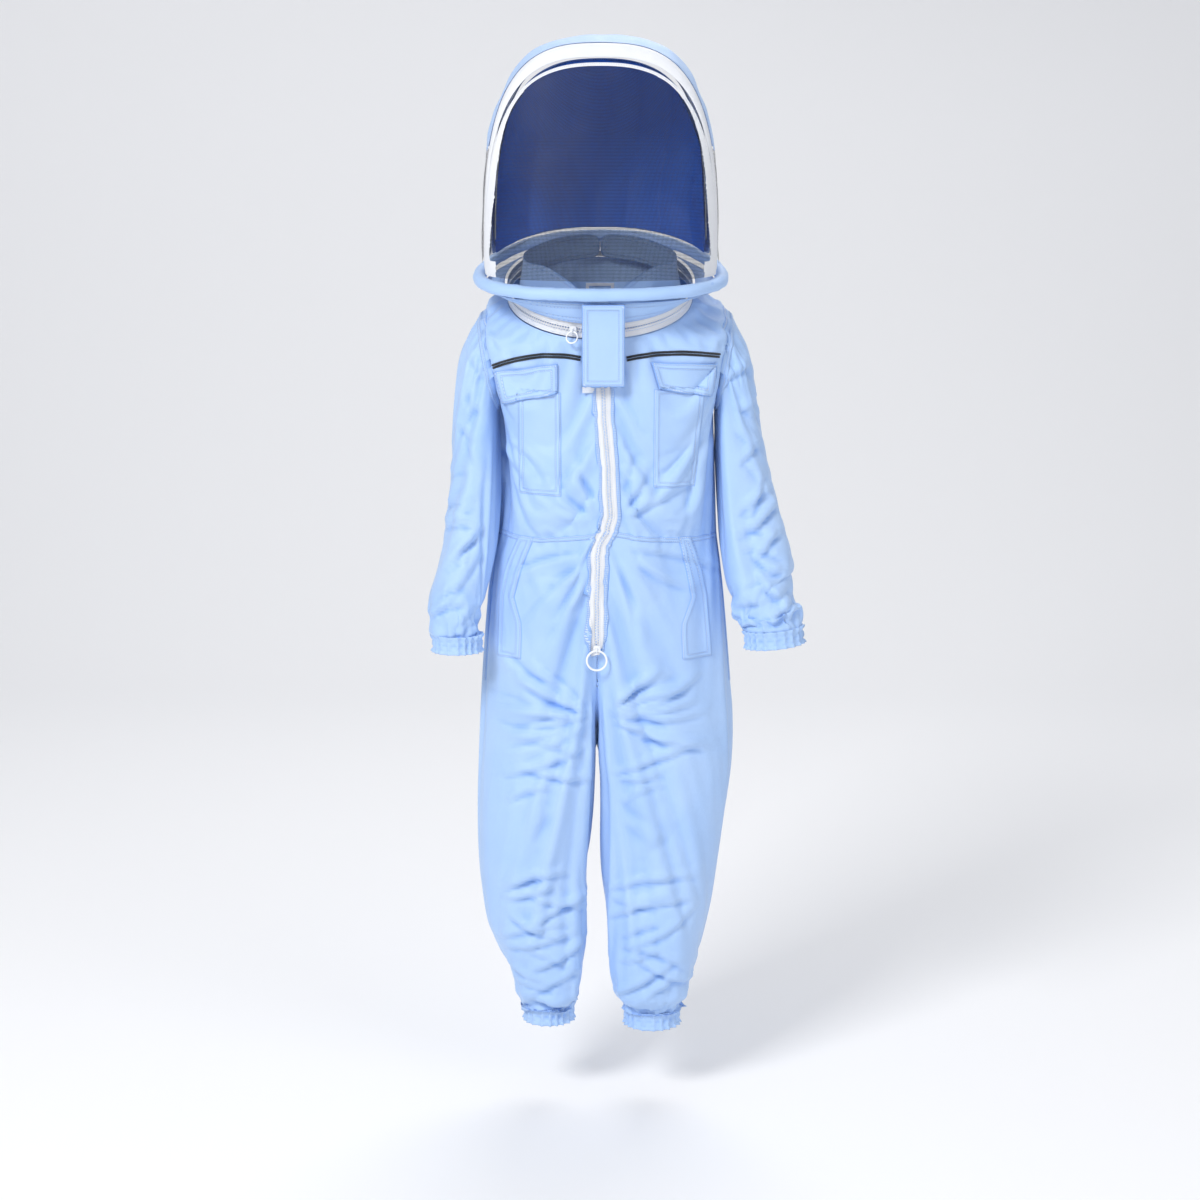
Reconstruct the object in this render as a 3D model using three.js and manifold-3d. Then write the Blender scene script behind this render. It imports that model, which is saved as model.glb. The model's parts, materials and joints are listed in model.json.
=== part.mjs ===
// A beekeeping suit: a cotton coverall with a two-way front zip, and a fencing-style veil hood
// that zips onto its round neck and tips back over the shoulders.
//
// Frame: millimetres, +Z up, the wearer faces -Y and the wearer's left is +X.
// The origin is in the middle of the wearer's neck, level with the base of the veil.
import * as THREE from "three";
import { mergeVertices } from "three/addons/utils/BufferGeometryUtils.js";
import Module from "manifold-3d";

const wasm = await Module();
wasm.setup();

// ---------------------------------------------------------------- driving dimensions
const CLOTH = 3.5; // wall of a cloth panel with its seam allowances
const NET = 1.8; // wall of the veil netting with its coating
const SEAM = 0.6; // gap left where two pieces are sewn edge to edge
const LIFT = 2; // gap left under a piece that is sewn onto another
const PATCH = 2; // thickness of a pocket or a flap
const TAPE = 1.4; // thickness of a zip tape
const TAPE_WIDTH = 9; // of each visible zip tape
const TEETH_WIDTH = 5; // of a closed row of teeth

const NECK_RADIUS = 140; // of the round neck zip
const NECK_TILT = 23; // degrees that the neck zip drops from nape to throat
const WAIST = -381; // height of the waist seam
const CROTCH = -668; // height of the crotch point
const CUFF = 25; // height of the wrist and ankle casings
const ELASTIC = 14; // width of an elastic

const RING_WIDTH = 183; // half width of the ring at the base of the hood
const RING_DEPTH = 153; // half depth of that ring
const RING_SLOPE = 0.13; // rise of the ring's front half towards the back
const RING_SWEEP = 0.23; // what the slope has gained by the ring's rearmost point
const ROLL = 11; // radius of the cloth casing round that ring
const HOOP = 1.5; // radius of the spring wire
const HOOD_TOP = 349; // height of the crown
const PULL = 17; // outside radius of a front zip's ring pull
const NECK_PULL = 10; // outside radius of a neck zip's ring pull
const HEM_CLEARANCE = 1; // round an elastic inside its casing
const TAB = { right: -26, left: 36, top: -43, bottom: -163 };

// ---------------------------------------------------------------- small helpers
const radians = THREE.MathUtils.degToRad;
const lerp = THREE.MathUtils.lerp;
const clamp = THREE.MathUtils.clamp;
const V = (x, y, z) => new THREE.Vector3(x, y, z);
const suit = new THREE.Group();

const looks = {
  cloth: { color: 0xa4c6f4, roughness: 0.85, metalness: 0 },
  net: { color: 0x17181c, roughness: 0.7, metalness: 0 },
  white: { color: 0xf2f1f0, roughness: 0.75, metalness: 0 },
  black: { color: 0x20221f, roughness: 0.7, metalness: 0 },
  plastic: { color: 0xf4f4f2, roughness: 0.35, metalness: 0 },
  wire: { color: 0x9a9ca0, roughness: 0.3, metalness: 1 },
  elastic: { color: 0xe9e9e6, roughness: 0.8, metalness: 0 },
};

function add(name, geometry, look) {
  const mesh = new THREE.Mesh(geometry, new THREE.MeshStandardMaterial(looks[look]));
  mesh.name = name;
  suit.add(mesh);
  return mesh;
}

// Values at a place down a list of stations, each [place, value, value, ...], in order.
function station(rows, place) {
  const step = Math.sign(rows[1][0] - rows[0][0]);
  let i = 0;
  while (i < rows.length - 2 && step * (place - rows[i + 1][0]) > 0) i++;
  const k = clamp((place - rows[i][0]) / (rows[i + 1][0] - rows[i][0]), 0, 1);
  return rows[i].slice(1).map((value, j) => lerp(value, rows[i + 1][j + 1], k));
}

// Cosine and sine raised so that the section they draw is a rounded rectangle, angle in degrees.
function squared(angle, power) {
  const raise = (value) => Math.sign(value) * Math.abs(value) ** (2 / power);
  return [raise(Math.cos(radians(angle))), raise(Math.sin(radians(angle)))];
}

// A closed body from vertices and faces, turned so that its faces point out.
function closedBody(positions, faces) {
  let geometry = new THREE.BufferGeometry();
  geometry.setAttribute("position", new THREE.Float32BufferAttribute(positions, 3));
  geometry.setIndex(faces);
  geometry = mergeVertices(geometry, 1e-3);
  const index = geometry.index.array;
  const p = geometry.attributes.position;
  const kept = [];
  let volume = 0;
  for (let i = 0; i < index.length; i += 3) {
    const [i0, i1, i2] = [index[i], index[i + 1], index[i + 2]];
    if (i0 === i1 || i1 === i2 || i0 === i2) continue;
    kept.push(i0, i1, i2);
    const [a, b, c] = [i0, i1, i2].map((v) => new THREE.Vector3().fromBufferAttribute(p, v));
    volume += a.dot(b.cross(c));
  }
  geometry.setIndex(volume < 0 ? kept.reverse() : kept);
  geometry.computeVertexNormals();
  return geometry;
}

// A sheet of even thickness: the surface point(s, t), for s and t from 0 to 1, and the same surface
// moved in by the wall, either towards a direction or towards the middle of each row of points.
function sheet(point, sSteps, tSteps, wall, { round = false, toward = null } = {}) {
  const step = 1e-3;
  const inside = (value) => clamp(value, 0, 1);
  const columns = round ? sSteps : sSteps + 1;
  const outer = [];
  const normals = [];
  let vote = 0;
  for (let j = 0; j <= tSteps; j++) {
    const row = [];
    for (let i = 0; i < columns; i++) {
      const [s, t] = [i / sSteps, j / tSteps];
      const [s0, s1] = round ? [s - step, s + step] : [inside(s - step), inside(s + step)];
      const across = point(s1, t).sub(point(s0, t));
      const along = point(s, inside(t + step)).sub(point(s, inside(t - step)));
      row.push(point(s, t));
      normals.push(across.cross(along).normalize());
    }
    const middle = row.reduce((sum, p) => sum.add(p), V(0, 0, 0)).divideScalar(row.length);
    row.forEach((p, i) => {
      const inward = toward ?? middle.clone().sub(p);
      vote += normals[j * columns + i].dot(inward);
    });
    outer.push(...row);
  }
  const side = Math.sign(vote) * wall;
  const inner = outer.map((p, i) => p.clone().addScaledVector(normals[i], side));
  const positions = [...outer, ...inner].flatMap((p) => p.toArray());
  const at = (layer, i, j) => (layer * (tSteps + 1) + j) * columns + (round ? i % sSteps : i);
  const faces = [];
  const quad = (a, b, c, d) => faces.push(a, b, c, a, c, d);
  for (let j = 0; j < tSteps; j++)
    for (let i = 0; i < sSteps; i++) {
      quad(at(0, i, j), at(0, i + 1, j), at(0, i + 1, j + 1), at(0, i, j + 1));
      quad(at(1, i, j), at(1, i, j + 1), at(1, i + 1, j + 1), at(1, i + 1, j));
    }
  for (let i = 0; i < sSteps; i++) {
    quad(at(0, i, 0), at(1, i, 0), at(1, i + 1, 0), at(0, i + 1, 0));
    quad(at(0, i, tSteps), at(0, i + 1, tSteps), at(1, i + 1, tSteps), at(1, i, tSteps));
  }
  for (let j = 0; j < tSteps && !round; j++) {
    quad(at(0, 0, j), at(0, 0, j + 1), at(1, 0, j + 1), at(1, 0, j));
    quad(at(0, sSteps, j), at(1, sSteps, j), at(1, sSteps, j + 1), at(0, sSteps, j + 1));
  }
  return closedBody(positions, faces);
}

// A tube of a flat outline swept along points; a closed path joins its ends.
function sweep(outline, path, frameAt, closed) {
  const count = outline.length;
  const positions = path.flatMap((p, i) => {
    const [u, v] = frameAt(p, i);
    return outline.flatMap(([a, b]) => p.clone().addScaledVector(u, a).addScaledVector(v, b).toArray());
  });
  const faces = [];
  const rings = path.length;
  for (let j = 0; j < (closed ? rings : rings - 1); j++)
    for (let i = 0; i < count; i++) {
      const [a, b] = [j * count + i, j * count + ((i + 1) % count)];
      const [c, d] = [((j + 1) % rings) * count + ((i + 1) % count), ((j + 1) % rings) * count + i];
      faces.push(a, b, c, a, c, d);
    }
  if (!closed)
    for (let i = 1; i < count - 1; i++) {
      faces.push(0, i + 1, i);
      faces.push((rings - 1) * count, (rings - 1) * count + i, (rings - 1) * count + i + 1);
    }
  return closedBody(positions, faces);
}

function polygon(radius, sides) {
  return Array.from({ length: sides }, (_, i) => [
    radius * Math.cos((2 * Math.PI * i) / sides),
    radius * Math.sin((2 * Math.PI * i) / sides),
  ]);
}

// Cuts and joins.
function solid(geometry) {
  let plain = geometry.clone();
  plain.deleteAttribute("normal");
  plain.deleteAttribute("uv");
  plain = mergeVertices(plain, 1e-3);
  return new wasm.Manifold(
    new wasm.Mesh({
      numProp: 3,
      vertProperties: new Float32Array(plain.attributes.position.array),
      triVerts: new Uint32Array(plain.index.array),
    }),
  );
}

function geometryOf(shape) {
  const mesh = shape.getMesh();
  const geometry = new THREE.BufferGeometry();
  geometry.setAttribute("position", new THREE.BufferAttribute(mesh.vertProperties, 3));
  geometry.setIndex(new THREE.BufferAttribute(mesh.triVerts, 1));
  geometry.computeVertexNormals();
  return geometry;
}

const block = (x0, x1, y0, y1, z0, z1) =>
  new THREE.BoxGeometry(x1 - x0, y1 - y0, z1 - z0).translate(
    (x0 + x1) / 2,
    (y0 + y1) / 2,
    (z0 + z1) / 2,
  );

// ---------------------------------------------------------------- round neck and base ring
// A point of the neck zip: angle 0 is the wearer's left, 90 the nape, -90 the throat; out is
// away from the ring's middle and up is along its axis.
const neckCentre = V(0, -8, -28);
const neckBack = V(0, Math.cos(radians(NECK_TILT)), Math.sin(radians(NECK_TILT)));
const neckUp = V(0, -neckBack.z, neckBack.y);
function neckPoint(angle, out, up) {
  const [c, s] = [Math.cos(radians(angle)), Math.sin(radians(angle))];
  return neckCentre
    .clone()
    .add(V((NECK_RADIUS + out) * c, 0, 0))
    .addScaledVector(neckBack, (NECK_RADIUS + out) * s)
    .addScaledVector(neckUp, up);
}

// A point of the ring that the hood stands on, with the same angles.
const ringCentre = V(1, -12, -9);
function ringPoint(angle, out = 0, up = 0) {
  const [c, s] = squared(angle, 2.3);
  const y = (RING_DEPTH + out) * s;
  const slope = RING_SLOPE + RING_SWEEP * Math.max(y / RING_DEPTH, 0);
  return V((RING_WIDTH + out) * c, y, slope * y + up).add(ringCentre);
}

// ---------------------------------------------------------------- trunk
// Level sections of the bodice from the waist up:
// [number, height at the sides, right, left, front, back, rise towards the back, squareness]
const trunk = [
  [0, WAIST + SEAM, -133, 158, -116, 100, 0, 2.4],
  [1, -345, -137, 161, -126, 106, 0, 3],
  [2, -270, -138, 162, -125, 112, 0, 3.2],
  [3, -215, -142, 166, -124, 118, 0, 3.2],
  [4, -170, -168, 188, -123, 118, 0.05, 3.1],
  [5, -110, -179, 197, -124, 119, 0.15, 3],
  [6, -66, -178, 196, -127, 120, 0.3, 3],
  [7, -50, -160, 172, -132, 122, 0.38, 2.4],
];
const NECK_EDGE = 8; // the section number of the neck edge
const NECK_TAPE_EDGE = TEETH_WIDTH / 2 + TAPE_WIDTH + 4 * SEAM;

// A point of the trunk: angle as for the neck, level a section number with its fraction.
function trunkPoint(angle, level) {
  const at = (number) => {
    if (number >= NECK_EDGE) return neckPoint(angle, 0, -NECK_TAPE_EDGE);
    const [z, right, left, front, back, rise, power] = station(trunk, number);
    const [c, s] = squared(angle, power);
    const y = (front + back) / 2 + ((back - front) / 2) * s;
    return V((left + right) / 2 + ((left - right) / 2) * c, y, z + rise * y);
  };
  const whole = Math.min(Math.floor(level), NECK_EDGE - 1);
  return at(whole).lerp(at(whole + 1), level - whole);
}

// The armhole is an oval on the trunk's side; turn goes round it from the back over the top.
const ARMHOLE = { middle: 4.65, half: 1.5, spread: 26 };
function armholePlace(side, turn, shrink = 0) {
  const spread = (ARMHOLE.spread - shrink) * Math.cos(radians(turn));
  const level = ARMHOLE.middle + (ARMHOLE.half - shrink / 20) * Math.sin(radians(turn));
  return [side > 0 ? spread : 180 - spread, level];
}
function armholePoint(side, turn, shrink, out) {
  const [angle, level] = armholePlace(side, turn, shrink);
  const across = trunkPoint(angle + 0.1, level).sub(trunkPoint(angle - 0.1, level));
  const up = trunkPoint(angle, level + 0.01).sub(trunkPoint(angle, level - 0.01));
  return trunkPoint(angle, level).addScaledVector(across.cross(up).normalize(), out);
}
// The plug that cuts the armhole.
function armholePlug(side) {
  const steps = 32;
  const reach = 22;
  const rings = [reach, -reach].map((out) =>
    Array.from({ length: steps }, (_, i) => armholePoint(side, (360 * i) / steps, 0, out)),
  );
  const middles = rings.map((ring) =>
    ring.reduce((sum, p) => sum.add(p), V(0, 0, 0)).divideScalar(steps),
  );
  const positions = [...rings[0], ...rings[1], ...middles].flatMap((p) => p.toArray());
  const faces = [];
  for (let i = 0; i < steps; i++) {
    const next = (i + 1) % steps;
    faces.push(i, next, steps + next, i, steps + next, steps + i);
    faces.push(2 * steps, next, i, 2 * steps + 1, steps + i, steps + next);
  }
  return closedBody(positions, faces);
}

// The front zip runs down the middle of the front, with a bend at the waist: [height, x]
const zipLine = [
  [-94, 0],
  [-372, 17],
  [-401, -3],
  [-572, -5],
];
const zipX = (z) => station(zipLine, z)[0];
const ZIP_END = zipLine.at(-1)[0];
const ZIP_GAP = TEETH_WIDTH / 2 + SEAM;

// A block that follows the front zip from one distance beside it to another.
function besideZip(from, to, top, bottom) {
  const steps = 12;
  const path = Array.from({ length: steps + 1 }, (_, i) => {
    const z = lerp(top, bottom, i / steps);
    return V(zipX(z), 0, z);
  });
  const reach = 200;
  const outline = [
    [from, -reach],
    [to, -reach],
    [to, 0],
    [from, 0],
  ];
  return sweep(outline, path, () => [V(1, 0, 0), V(0, 1, 0)], false);
}

function makeBodice() {
  const point = (s, t) => trunkPoint(360 * s, NECK_EDGE * t);
  const shell = solid(sheet(point, 36, 8, CLOTH, { round: true }));
  const opened = shell.subtract(solid(armholePlug(1))).subtract(solid(armholePlug(-1)));
  const far = 400;
  for (const [name, side] of [["left", 1], ["right", -1]]) {
    const half = besideZip(side * ZIP_GAP, side * far, 0, WAIST - 20);
    add(`front_bodice_${name}`, geometryOf(opened.intersect(solid(half))), "cloth");
  }
  const behind = opened.intersect(solid(block(-far, far, SEAM, far, -far - 100, far)));
  add("back_bodice", geometryOf(behind), "cloth");
}

// ---------------------------------------------------------------- trousers
// Level sections of each leg from the waist down:
// [height, inner x, outer x, front, back, roundness of the inner side]
const legs = {
  left: [
    [WAIST - SEAM, 10.5, 158, -116, 100, 0],
    [-401, -3, 170, -114, 108, 0],
    [-443, -4, 178, -112, 120, 0],
    [-572, -5, 196, -108, 130, 0],
    [CROTCH, -4, 214, -100, 126, 0],
    [-758, 3, 211, -94, 112, 0.6],
    [-871, -2, 191, -86, 96, 1],
    [-984, 10, 175, -80, 84, 1],
    [-1049, 6, 158, -76, 76, 1],
    [-1115, 12, 153, -70, 68, 1],
    [-1146, 30, 140, -58, 56, 1],
    [-1158, 40, 124, -44, 44, 1],
  ],
  right: [
    [WAIST - SEAM, 10.5, -133, -116, 100, 0],
    [-401, -3, -152, -114, 108, 0],
    [-443, -4, -169, -112, 120, 0],
    [-572, -5, -179, -108, 130, 0],
    [CROTCH, -4, -187, -100, 126, 0],
    [-806, -9, -194, -92, 108, 0.7],
    [-903, -24, -193, -86, 94, 1],
    [-992, -20, -190, -82, 84, 1],
    [-1049, -24, -156, -76, 76, 1],
    [-1115, -19, -142, -68, 66, 1],
    [-1140, -34, -132, -56, 54, 1],
    [-1151, -42, -119, -42, 42, 1],
  ],
};
const LEG_POWER = 2.4;

// A point of a leg: angle 0 is the outseam, -90 the front, -180 the inseam, 90 the back.
function legPoint(name, angle, z) {
  const [inner, outer, front, back, roundness] = station(legs[name], z);
  const side = name === "left" ? 1 : -1;
  const start = inner + (side * SEAM) / 2;
  const middle = lerp(start, (start + outer) / 2, roundness);
  const [c, s] = squared(angle, LEG_POWER);
  const x = middle + c * (c > 0 ? outer - middle : middle - start);
  return V(x, (front + back) / 2 + ((back - front) / 2) * s, z);
}

// How far round a panel reaches inwards at each height: to the middle seam above the crotch
// curve and to the inseam below it.
const FLY = -575;
const CROTCH_BACK = -500;
const reachIn = (z, start) => lerp(90, 180, clamp((start - z) / (start - CROTCH), 0, 1) ** 1.5);

function makeTrousers() {
  for (const name of ["left", "right"]) {
    const top = legs[name][0][0];
    const bottom = legs[name].at(-1)[0];
    const seam = 0.25; // degrees left free beside the outseam and the inseam
    for (const [part, sign, start] of [["front", -1, FLY], ["back", 1, CROTCH_BACK]]) {
      const point = (s, t) => {
        const z = lerp(top, bottom, t);
        const angle = sign * lerp(seam, reachIn(z, start) - seam, s);
        return legPoint(name, angle, z);
      };
      const inward = V(0, -sign, 0);
      const panel = sheet(point, 8, 15, CLOTH, { toward: inward });
      const side = name === "left" ? 1 : -1;
      const [from, to] = [-side * 60, side * ZIP_GAP].sort((a, b) => a - b);
      const cutter = () => solid(besideZip(from, to, WAIST + 20, ZIP_END - 1));
      const opened = sign < 0 ? geometryOf(solid(panel).subtract(cutter())) : panel;
      add(`trouser_${part}_${name}`, opened, "cloth");
    }
  }
}

// ---------------------------------------------------------------- sleeves and casings
// Sections of each sleeve after the armhole:
// [place, x out from the origin, height, direction in degrees from outwards to down,
//  half width, half depth, forward]
const sleeves = {
  left: [
    [0.14, 205, -149, 23, 58, 75, 0],
    [0.26, 207, -207, 65, 38, 66, 2],
    [0.42, 214, -280, 80, 46, 61, 8],
    [0.56, 222.5, -350, 80, 53, 58, 18],
    [0.68, 238.5, -412, 78, 57, 55, 32],
    [0.76, 247.5, -443, 84, 58, 54, 38],
    [0.84, 242, -474, 88, 51, 50, 45],
    [0.92, 251, -508, 84, 56, 52, 52],
    [1, 263, -539, 84, 43, 40, 58],
  ],
  right: [
    [0.14, 189, -149, 27, 57, 75, 0],
    [0.26, 190, -210, 68, 41, 66, 2],
    [0.42, 188, -280, 90, 44, 61, 10],
    [0.56, 191, -350, 90, 47, 58, 24],
    [0.68, 202, -412, 86, 43, 55, 42],
    [0.76, 211, -458, 86, 41, 52, 54],
    [0.84, 223, -493, 90, 50, 55, 62],
    [0.92, 222, -525, 90, 44, 50, 68],
    [1, 216, -545, 90, 36, 38, 72],
  ],
};

function sleeveSection(name, place) {
  const [x, z, direction, halfWidth, halfDepth, forward] = station(sleeves[name], place);
  const side = name === "left" ? 1 : -1;
  const [c, s] = [Math.cos(radians(direction)), Math.sin(radians(direction))];
  return {
    centre: V(side * x, -forward, z),
    across: V(side * s, 0, c),
    along: V(side * c, 0, -s),
    halfWidth,
    halfDepth,
  };
}

function tubePoint(section, turn, grow = 0, along = 0) {
  const [c, s] = [Math.cos(radians(turn)), Math.sin(radians(turn))];
  return section.centre
    .clone()
    .addScaledVector(section.across, (section.halfWidth + grow) * s)
    .add(V(0, (section.halfDepth + grow) * c, 0))
    .addScaledVector(section.along, along);
}

function sleevePoint(name, turn, place) {
  const first = sleeves[name][0][0];
  const later = tubePoint(sleeveSection(name, Math.max(place, first)), turn);
  if (place >= first) return later;
  return armholePoint(name === "left" ? 1 : -1, turn, 3, 1.5).lerp(later, place / first);
}

// A gathered casing at the end of a limb, and the elastic inside it.
function makeCasing(kind, name, section) {
  const ring = (grow, from, to) => (s, t) => tubePoint(section, 360 * s, grow, lerp(from, to, t));
  const casing = sheet(ring(0, SEAM, SEAM + CUFF), 16, 1, CLOTH, { round: true });
  add(`${kind}_cuff_${name}`, casing, "cloth");
  const from = SEAM + (CUFF - ELASTIC) / 2;
  const elastic = ring(-CLOTH - HEM_CLEARANCE, from, from + ELASTIC);
  add(`${kind}_elastic_${name}`, sheet(elastic, 16, 1, TAPE, { round: true }), "elastic");
}

function makeSleeves() {
  for (const name of ["left", "right"]) {
    const point = (s, t) => sleevePoint(name, 360 * s, t);
    add(`sleeve_${name}`, sheet(point, 18, 12, CLOTH, { round: true }), "cloth");
    makeCasing("wrist", name, sleeveSection(name, 1));
  }
}

function makeAnkles() {
  for (const name of ["left", "right"]) {
    const [z, inner, outer, front, back] = legs[name].at(-1);
    const section = {
      centre: V((inner + outer) / 2, (front + back) / 2, z),
      across: V(1, 0, 0),
      along: V(0, 0, -1),
      halfWidth: Math.abs(outer - inner) / 2,
      halfDepth: (back - front) / 2,
    };
    makeCasing("ankle", name, section);
  }
}

function makeWaistElastic() {
  const inset = CLOTH + LIFT + 2;
  const point = (s, t) => {
    const angle = lerp(12, 168, s);
    const z = WAIST + lerp(ELASTIC / 2, -ELASTIC / 2, t);
    const p = trunkPoint(angle, 0);
    const middle = V(12, 0, p.z);
    const p2 = p.lerp(middle, inset / p.distanceTo(middle));
    return V(p2.x, p2.y - 2, z);
  };
  add("waist_elastic", sheet(point, 20, 1, TAPE), "elastic");
}

// ---------------------------------------------------------------- pieces laid on the front
const ray = new THREE.Raycaster();
let frontCloth = [];
// How far forward the cloth lies; over a seam's gap it is the cloth just beside the gap.
function frontY(x, z) {
  for (const [dx, dz] of [[0, 0], [0, -3], [0, 3], [-3, 0], [3, 0]]) {
    ray.set(V(x + dx, -500, z + dz), V(0, 1, 0));
    const hit = ray.intersectObjects(frontCloth, false)[0];
    if (hit) return hit.point.y;
  }
  throw new Error(`no cloth at ${x}, ${z}`);
}
// The front's depth, bridged over the gap of the zip.
function layY(x, z) {
  const gap = ZIP_GAP + 1;
  const middle = zipX(z);
  if (Math.abs(x - middle) >= gap) return frontY(x, z);
  return (frontY(middle - gap, z) + frontY(middle + gap, z)) / 2;
}

// How much further out a piece has to stand, along Y, where the front turns to the side.
const lean = (x, z) => Math.hypot(1, (layY(x + 4, z) - layY(x - 4, z)) / 8);

// A patch on the front with a left and a right edge given at each height.
function patch(top, bottom, edges, lift, wall, steps = [6, 6]) {
  const point = (s, t) => {
    const z0 = lerp(top, bottom, t);
    const [x0, x1, drop0 = 0, drop1 = 0] = edges(z0, t);
    const x = lerp(x0, x1, s);
    const z = z0 + lerp(drop0, drop1, s);
    return V(x, layY(x, z) - (lift + wall) * lean(x, z), z);
  };
  return sheet(point, steps[0], steps[1], wall, { toward: V(0, 1, 0) });
}

const ZIP_TOP = -97;
function makeFrontZip() {
  const top = ZIP_TOP;
  const edge = TEETH_WIDTH / 2 + SEAM;
  for (const [name, side] of [["left", 1], ["right", -1]]) {
    const edges = (z) => [zipX(z) + side * edge, zipX(z) + side * (edge + TAPE_WIDTH)];
    add(`front_zip_tape_${name}`, patch(top, ZIP_END, edges, LIFT, TAPE, [1, 18]), "white");
  }
  const edges = (z) => [zipX(z) - TEETH_WIDTH / 2, zipX(z) + TEETH_WIDTH / 2];
  add("front_zip_teeth", patch(top, ZIP_END, edges, LIFT - 0.6, TAPE + 1, [1, 18]), "white");
}

function makeChest() {
  // Piping along the yoke: [x, height]
  const pipings = {
    left: [[38, -125], [73, -115], [178, -120]],
    right: [[-28, -121], [-110, -121], [-160, -138]],
  };
  const width = 8;
  for (const [name, line] of Object.entries(pipings)) {
    const point = (s, t) => {
      const x = lerp(line[0][0], line.at(-1)[0], s);
      const z = station(line, x)[0] + lerp(width / 2, -width / 2, t);
      return V(x, layY(x, z) - (LIFT + TAPE) * lean(x, z), z);
    };
    add(`chest_piping_${name}`, sheet(point, 10, 1, TAPE, { toward: V(0, 1, 0) }), "black");
  }
  const leftPocket = (z) => [79, lerp(158, 142, clamp((-168 - z) / 149, 0, 1))];
  add("chest_pocket_left", patch(-168, -317, leftPocket, LIFT, PATCH), "cloth");
  add("chest_pocket_right", patch(-172, -329, () => [-122, -57], LIFT, PATCH), "cloth");
  const flapLift = 2 * LIFT + PATCH + 1.5;
  const leftFlap = (z, t) => [lerp(74, 86, t), lerp(174, 165, t), 0, lerp(-4, -12, t)];
  add("pocket_flap_left", patch(-129, -170, leftFlap, flapLift, PATCH, [8, 3]), "cloth");
  const rightFlap = (z, t) => [lerp(-156, -143, t), -63, lerp(-15, -18, t), 0];
  add("pocket_flap_right", patch(-131, -175, rightFlap, flapLift, PATCH, [8, 3]), "cloth");
  const loopEdges = (z) => [TAB.right, zipX(z) - ZIP_GAP - TAPE_WIDTH - 1];
  add("tab_loop_patch", patch(-146, -174, loopEdges, LIFT, TAPE, [2, 1]), "white");
}

// Hip pockets: [height, opening edge, outer edge]
const hips = {
  left: [[-392, 117, 136], [-443, 129, 154], [-489, 138, 164], [-530, 122, 168], [-584, 125, 172]],
  right: [[-392, -98, -122], [-443, -118, -144], [-489, -130, -154], [-530, -118, -156], [-584, -120, -158]],
};
function makeHipPockets() {
  for (const [name, rows] of Object.entries(hips)) {
    const edges = (z) => station(rows, z);
    add(`hip_pocket_${name}`, patch(rows[0][0], rows.at(-1)[0], edges, LIFT, PATCH, [4, 10]), "cloth");
  }
}

function makeHangerLoop() {
  const [width, drop, strap] = [44, 22, 5];
  const outline = new THREE.Shape();
  outline.moveTo(-width / 2, 0).lineTo(width / 2, 0).lineTo(width / 2, -drop).lineTo(-width / 2, -drop);
  const hole = new THREE.Path();
  hole.moveTo(-width / 2 + strap, -strap).lineTo(-width / 2 + strap, -drop + strap);
  hole.lineTo(width / 2 - strap, -drop + strap).lineTo(width / 2 - strap, -strap);
  outline.holes.push(hole);
  const loop = new THREE.ExtrudeGeometry(outline, { depth: PATCH, bevelEnabled: false });
  const back = trunkPoint(90, 6);
  loop.rotateX(Math.PI / 2).translate(0, back.y + LIFT + PATCH, back.z + 4);
  add("hanger_loop", loop, "cloth");
}

// ---------------------------------------------------------------- collar and neck zip
function makeCollar() {
  // Height of the collar's top edge by angle from the throat round to the nape.
  const rise = [[0, 26], [12, 62], [42, 92], [60, 76], [120, 50], [180, 44]];
  for (const [name, side] of [["left", 1], ["right", -1]]) {
    const point = (s, t) => {
      const turn = lerp(3, 179.7, s);
      const height = station(rise, turn)[0];
      return neckPoint(-90 + side * turn, lerp(-16, -24, t), lerp(-8, height - 8, t));
    };
    add(`stand_collar_${name}`, sheet(point, 12, 2, CLOTH), "cloth");
  }
}

function neckBand(from, to, wall, out = 0) {
  const point = (s, t) => neckPoint(360 * s, out, lerp(from, to, t));
  return sheet(point, 36, 1, wall, { round: true });
}

function makeNeckZip() {
  const half = TEETH_WIDTH / 2;
  add("neck_zip_lower_tape", neckBand(-half - SEAM - TAPE_WIDTH, -half - SEAM, TAPE), "white");
  add("neck_zip_teeth", neckBand(-half, half, TAPE + 1, 0.5), "white");
  add("neck_zip_upper_tape", neckBand(half + SEAM, half + SEAM + TAPE_WIDTH, TAPE), "white");
}

// ---------------------------------------------------------------- hood
const BAND_TOP = TEETH_WIDTH / 2 + 2 * SEAM + TAPE_WIDTH; // where the hood's cloth meets its zip tape
function makeHoodBase() {
  const wire = Array.from({ length: 32 }, (_, i) => ringPoint((360 * i) / 32));
  const frameAt = (p) => [p.clone().sub(ringCentre).setZ(0).normalize(), V(0, 0, 1)];
  add("base_ring_wire", sweep(polygon(2, 6), wire, frameAt, true), "wire");
  // The casing's section is a round tube, open below where its edges are sewn to the neck band.
  const turns = [-60, -15, 30, 75, 120, 165, 210];
  const arc = (radius) => turns.map((turn) => [radius * Math.cos(radians(turn)), radius * Math.sin(radians(turn))]);
  const outline = [...arc(ROLL), ...arc(ROLL - CLOTH + 1).reverse()];
  add("base_casing", sweep(outline, wire, frameAt, true), "cloth");
  const point = (s, t) => {
    const high = ringPoint(360 * s, -6, -ROLL - 1.5);
    return high.lerp(neckPoint(360 * s, 4, BAND_TOP + 1), t);
  };
  add("hood_neck_band", sheet(point, 32, 2, CLOTH - 1, { round: true }), "cloth");
}

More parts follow.
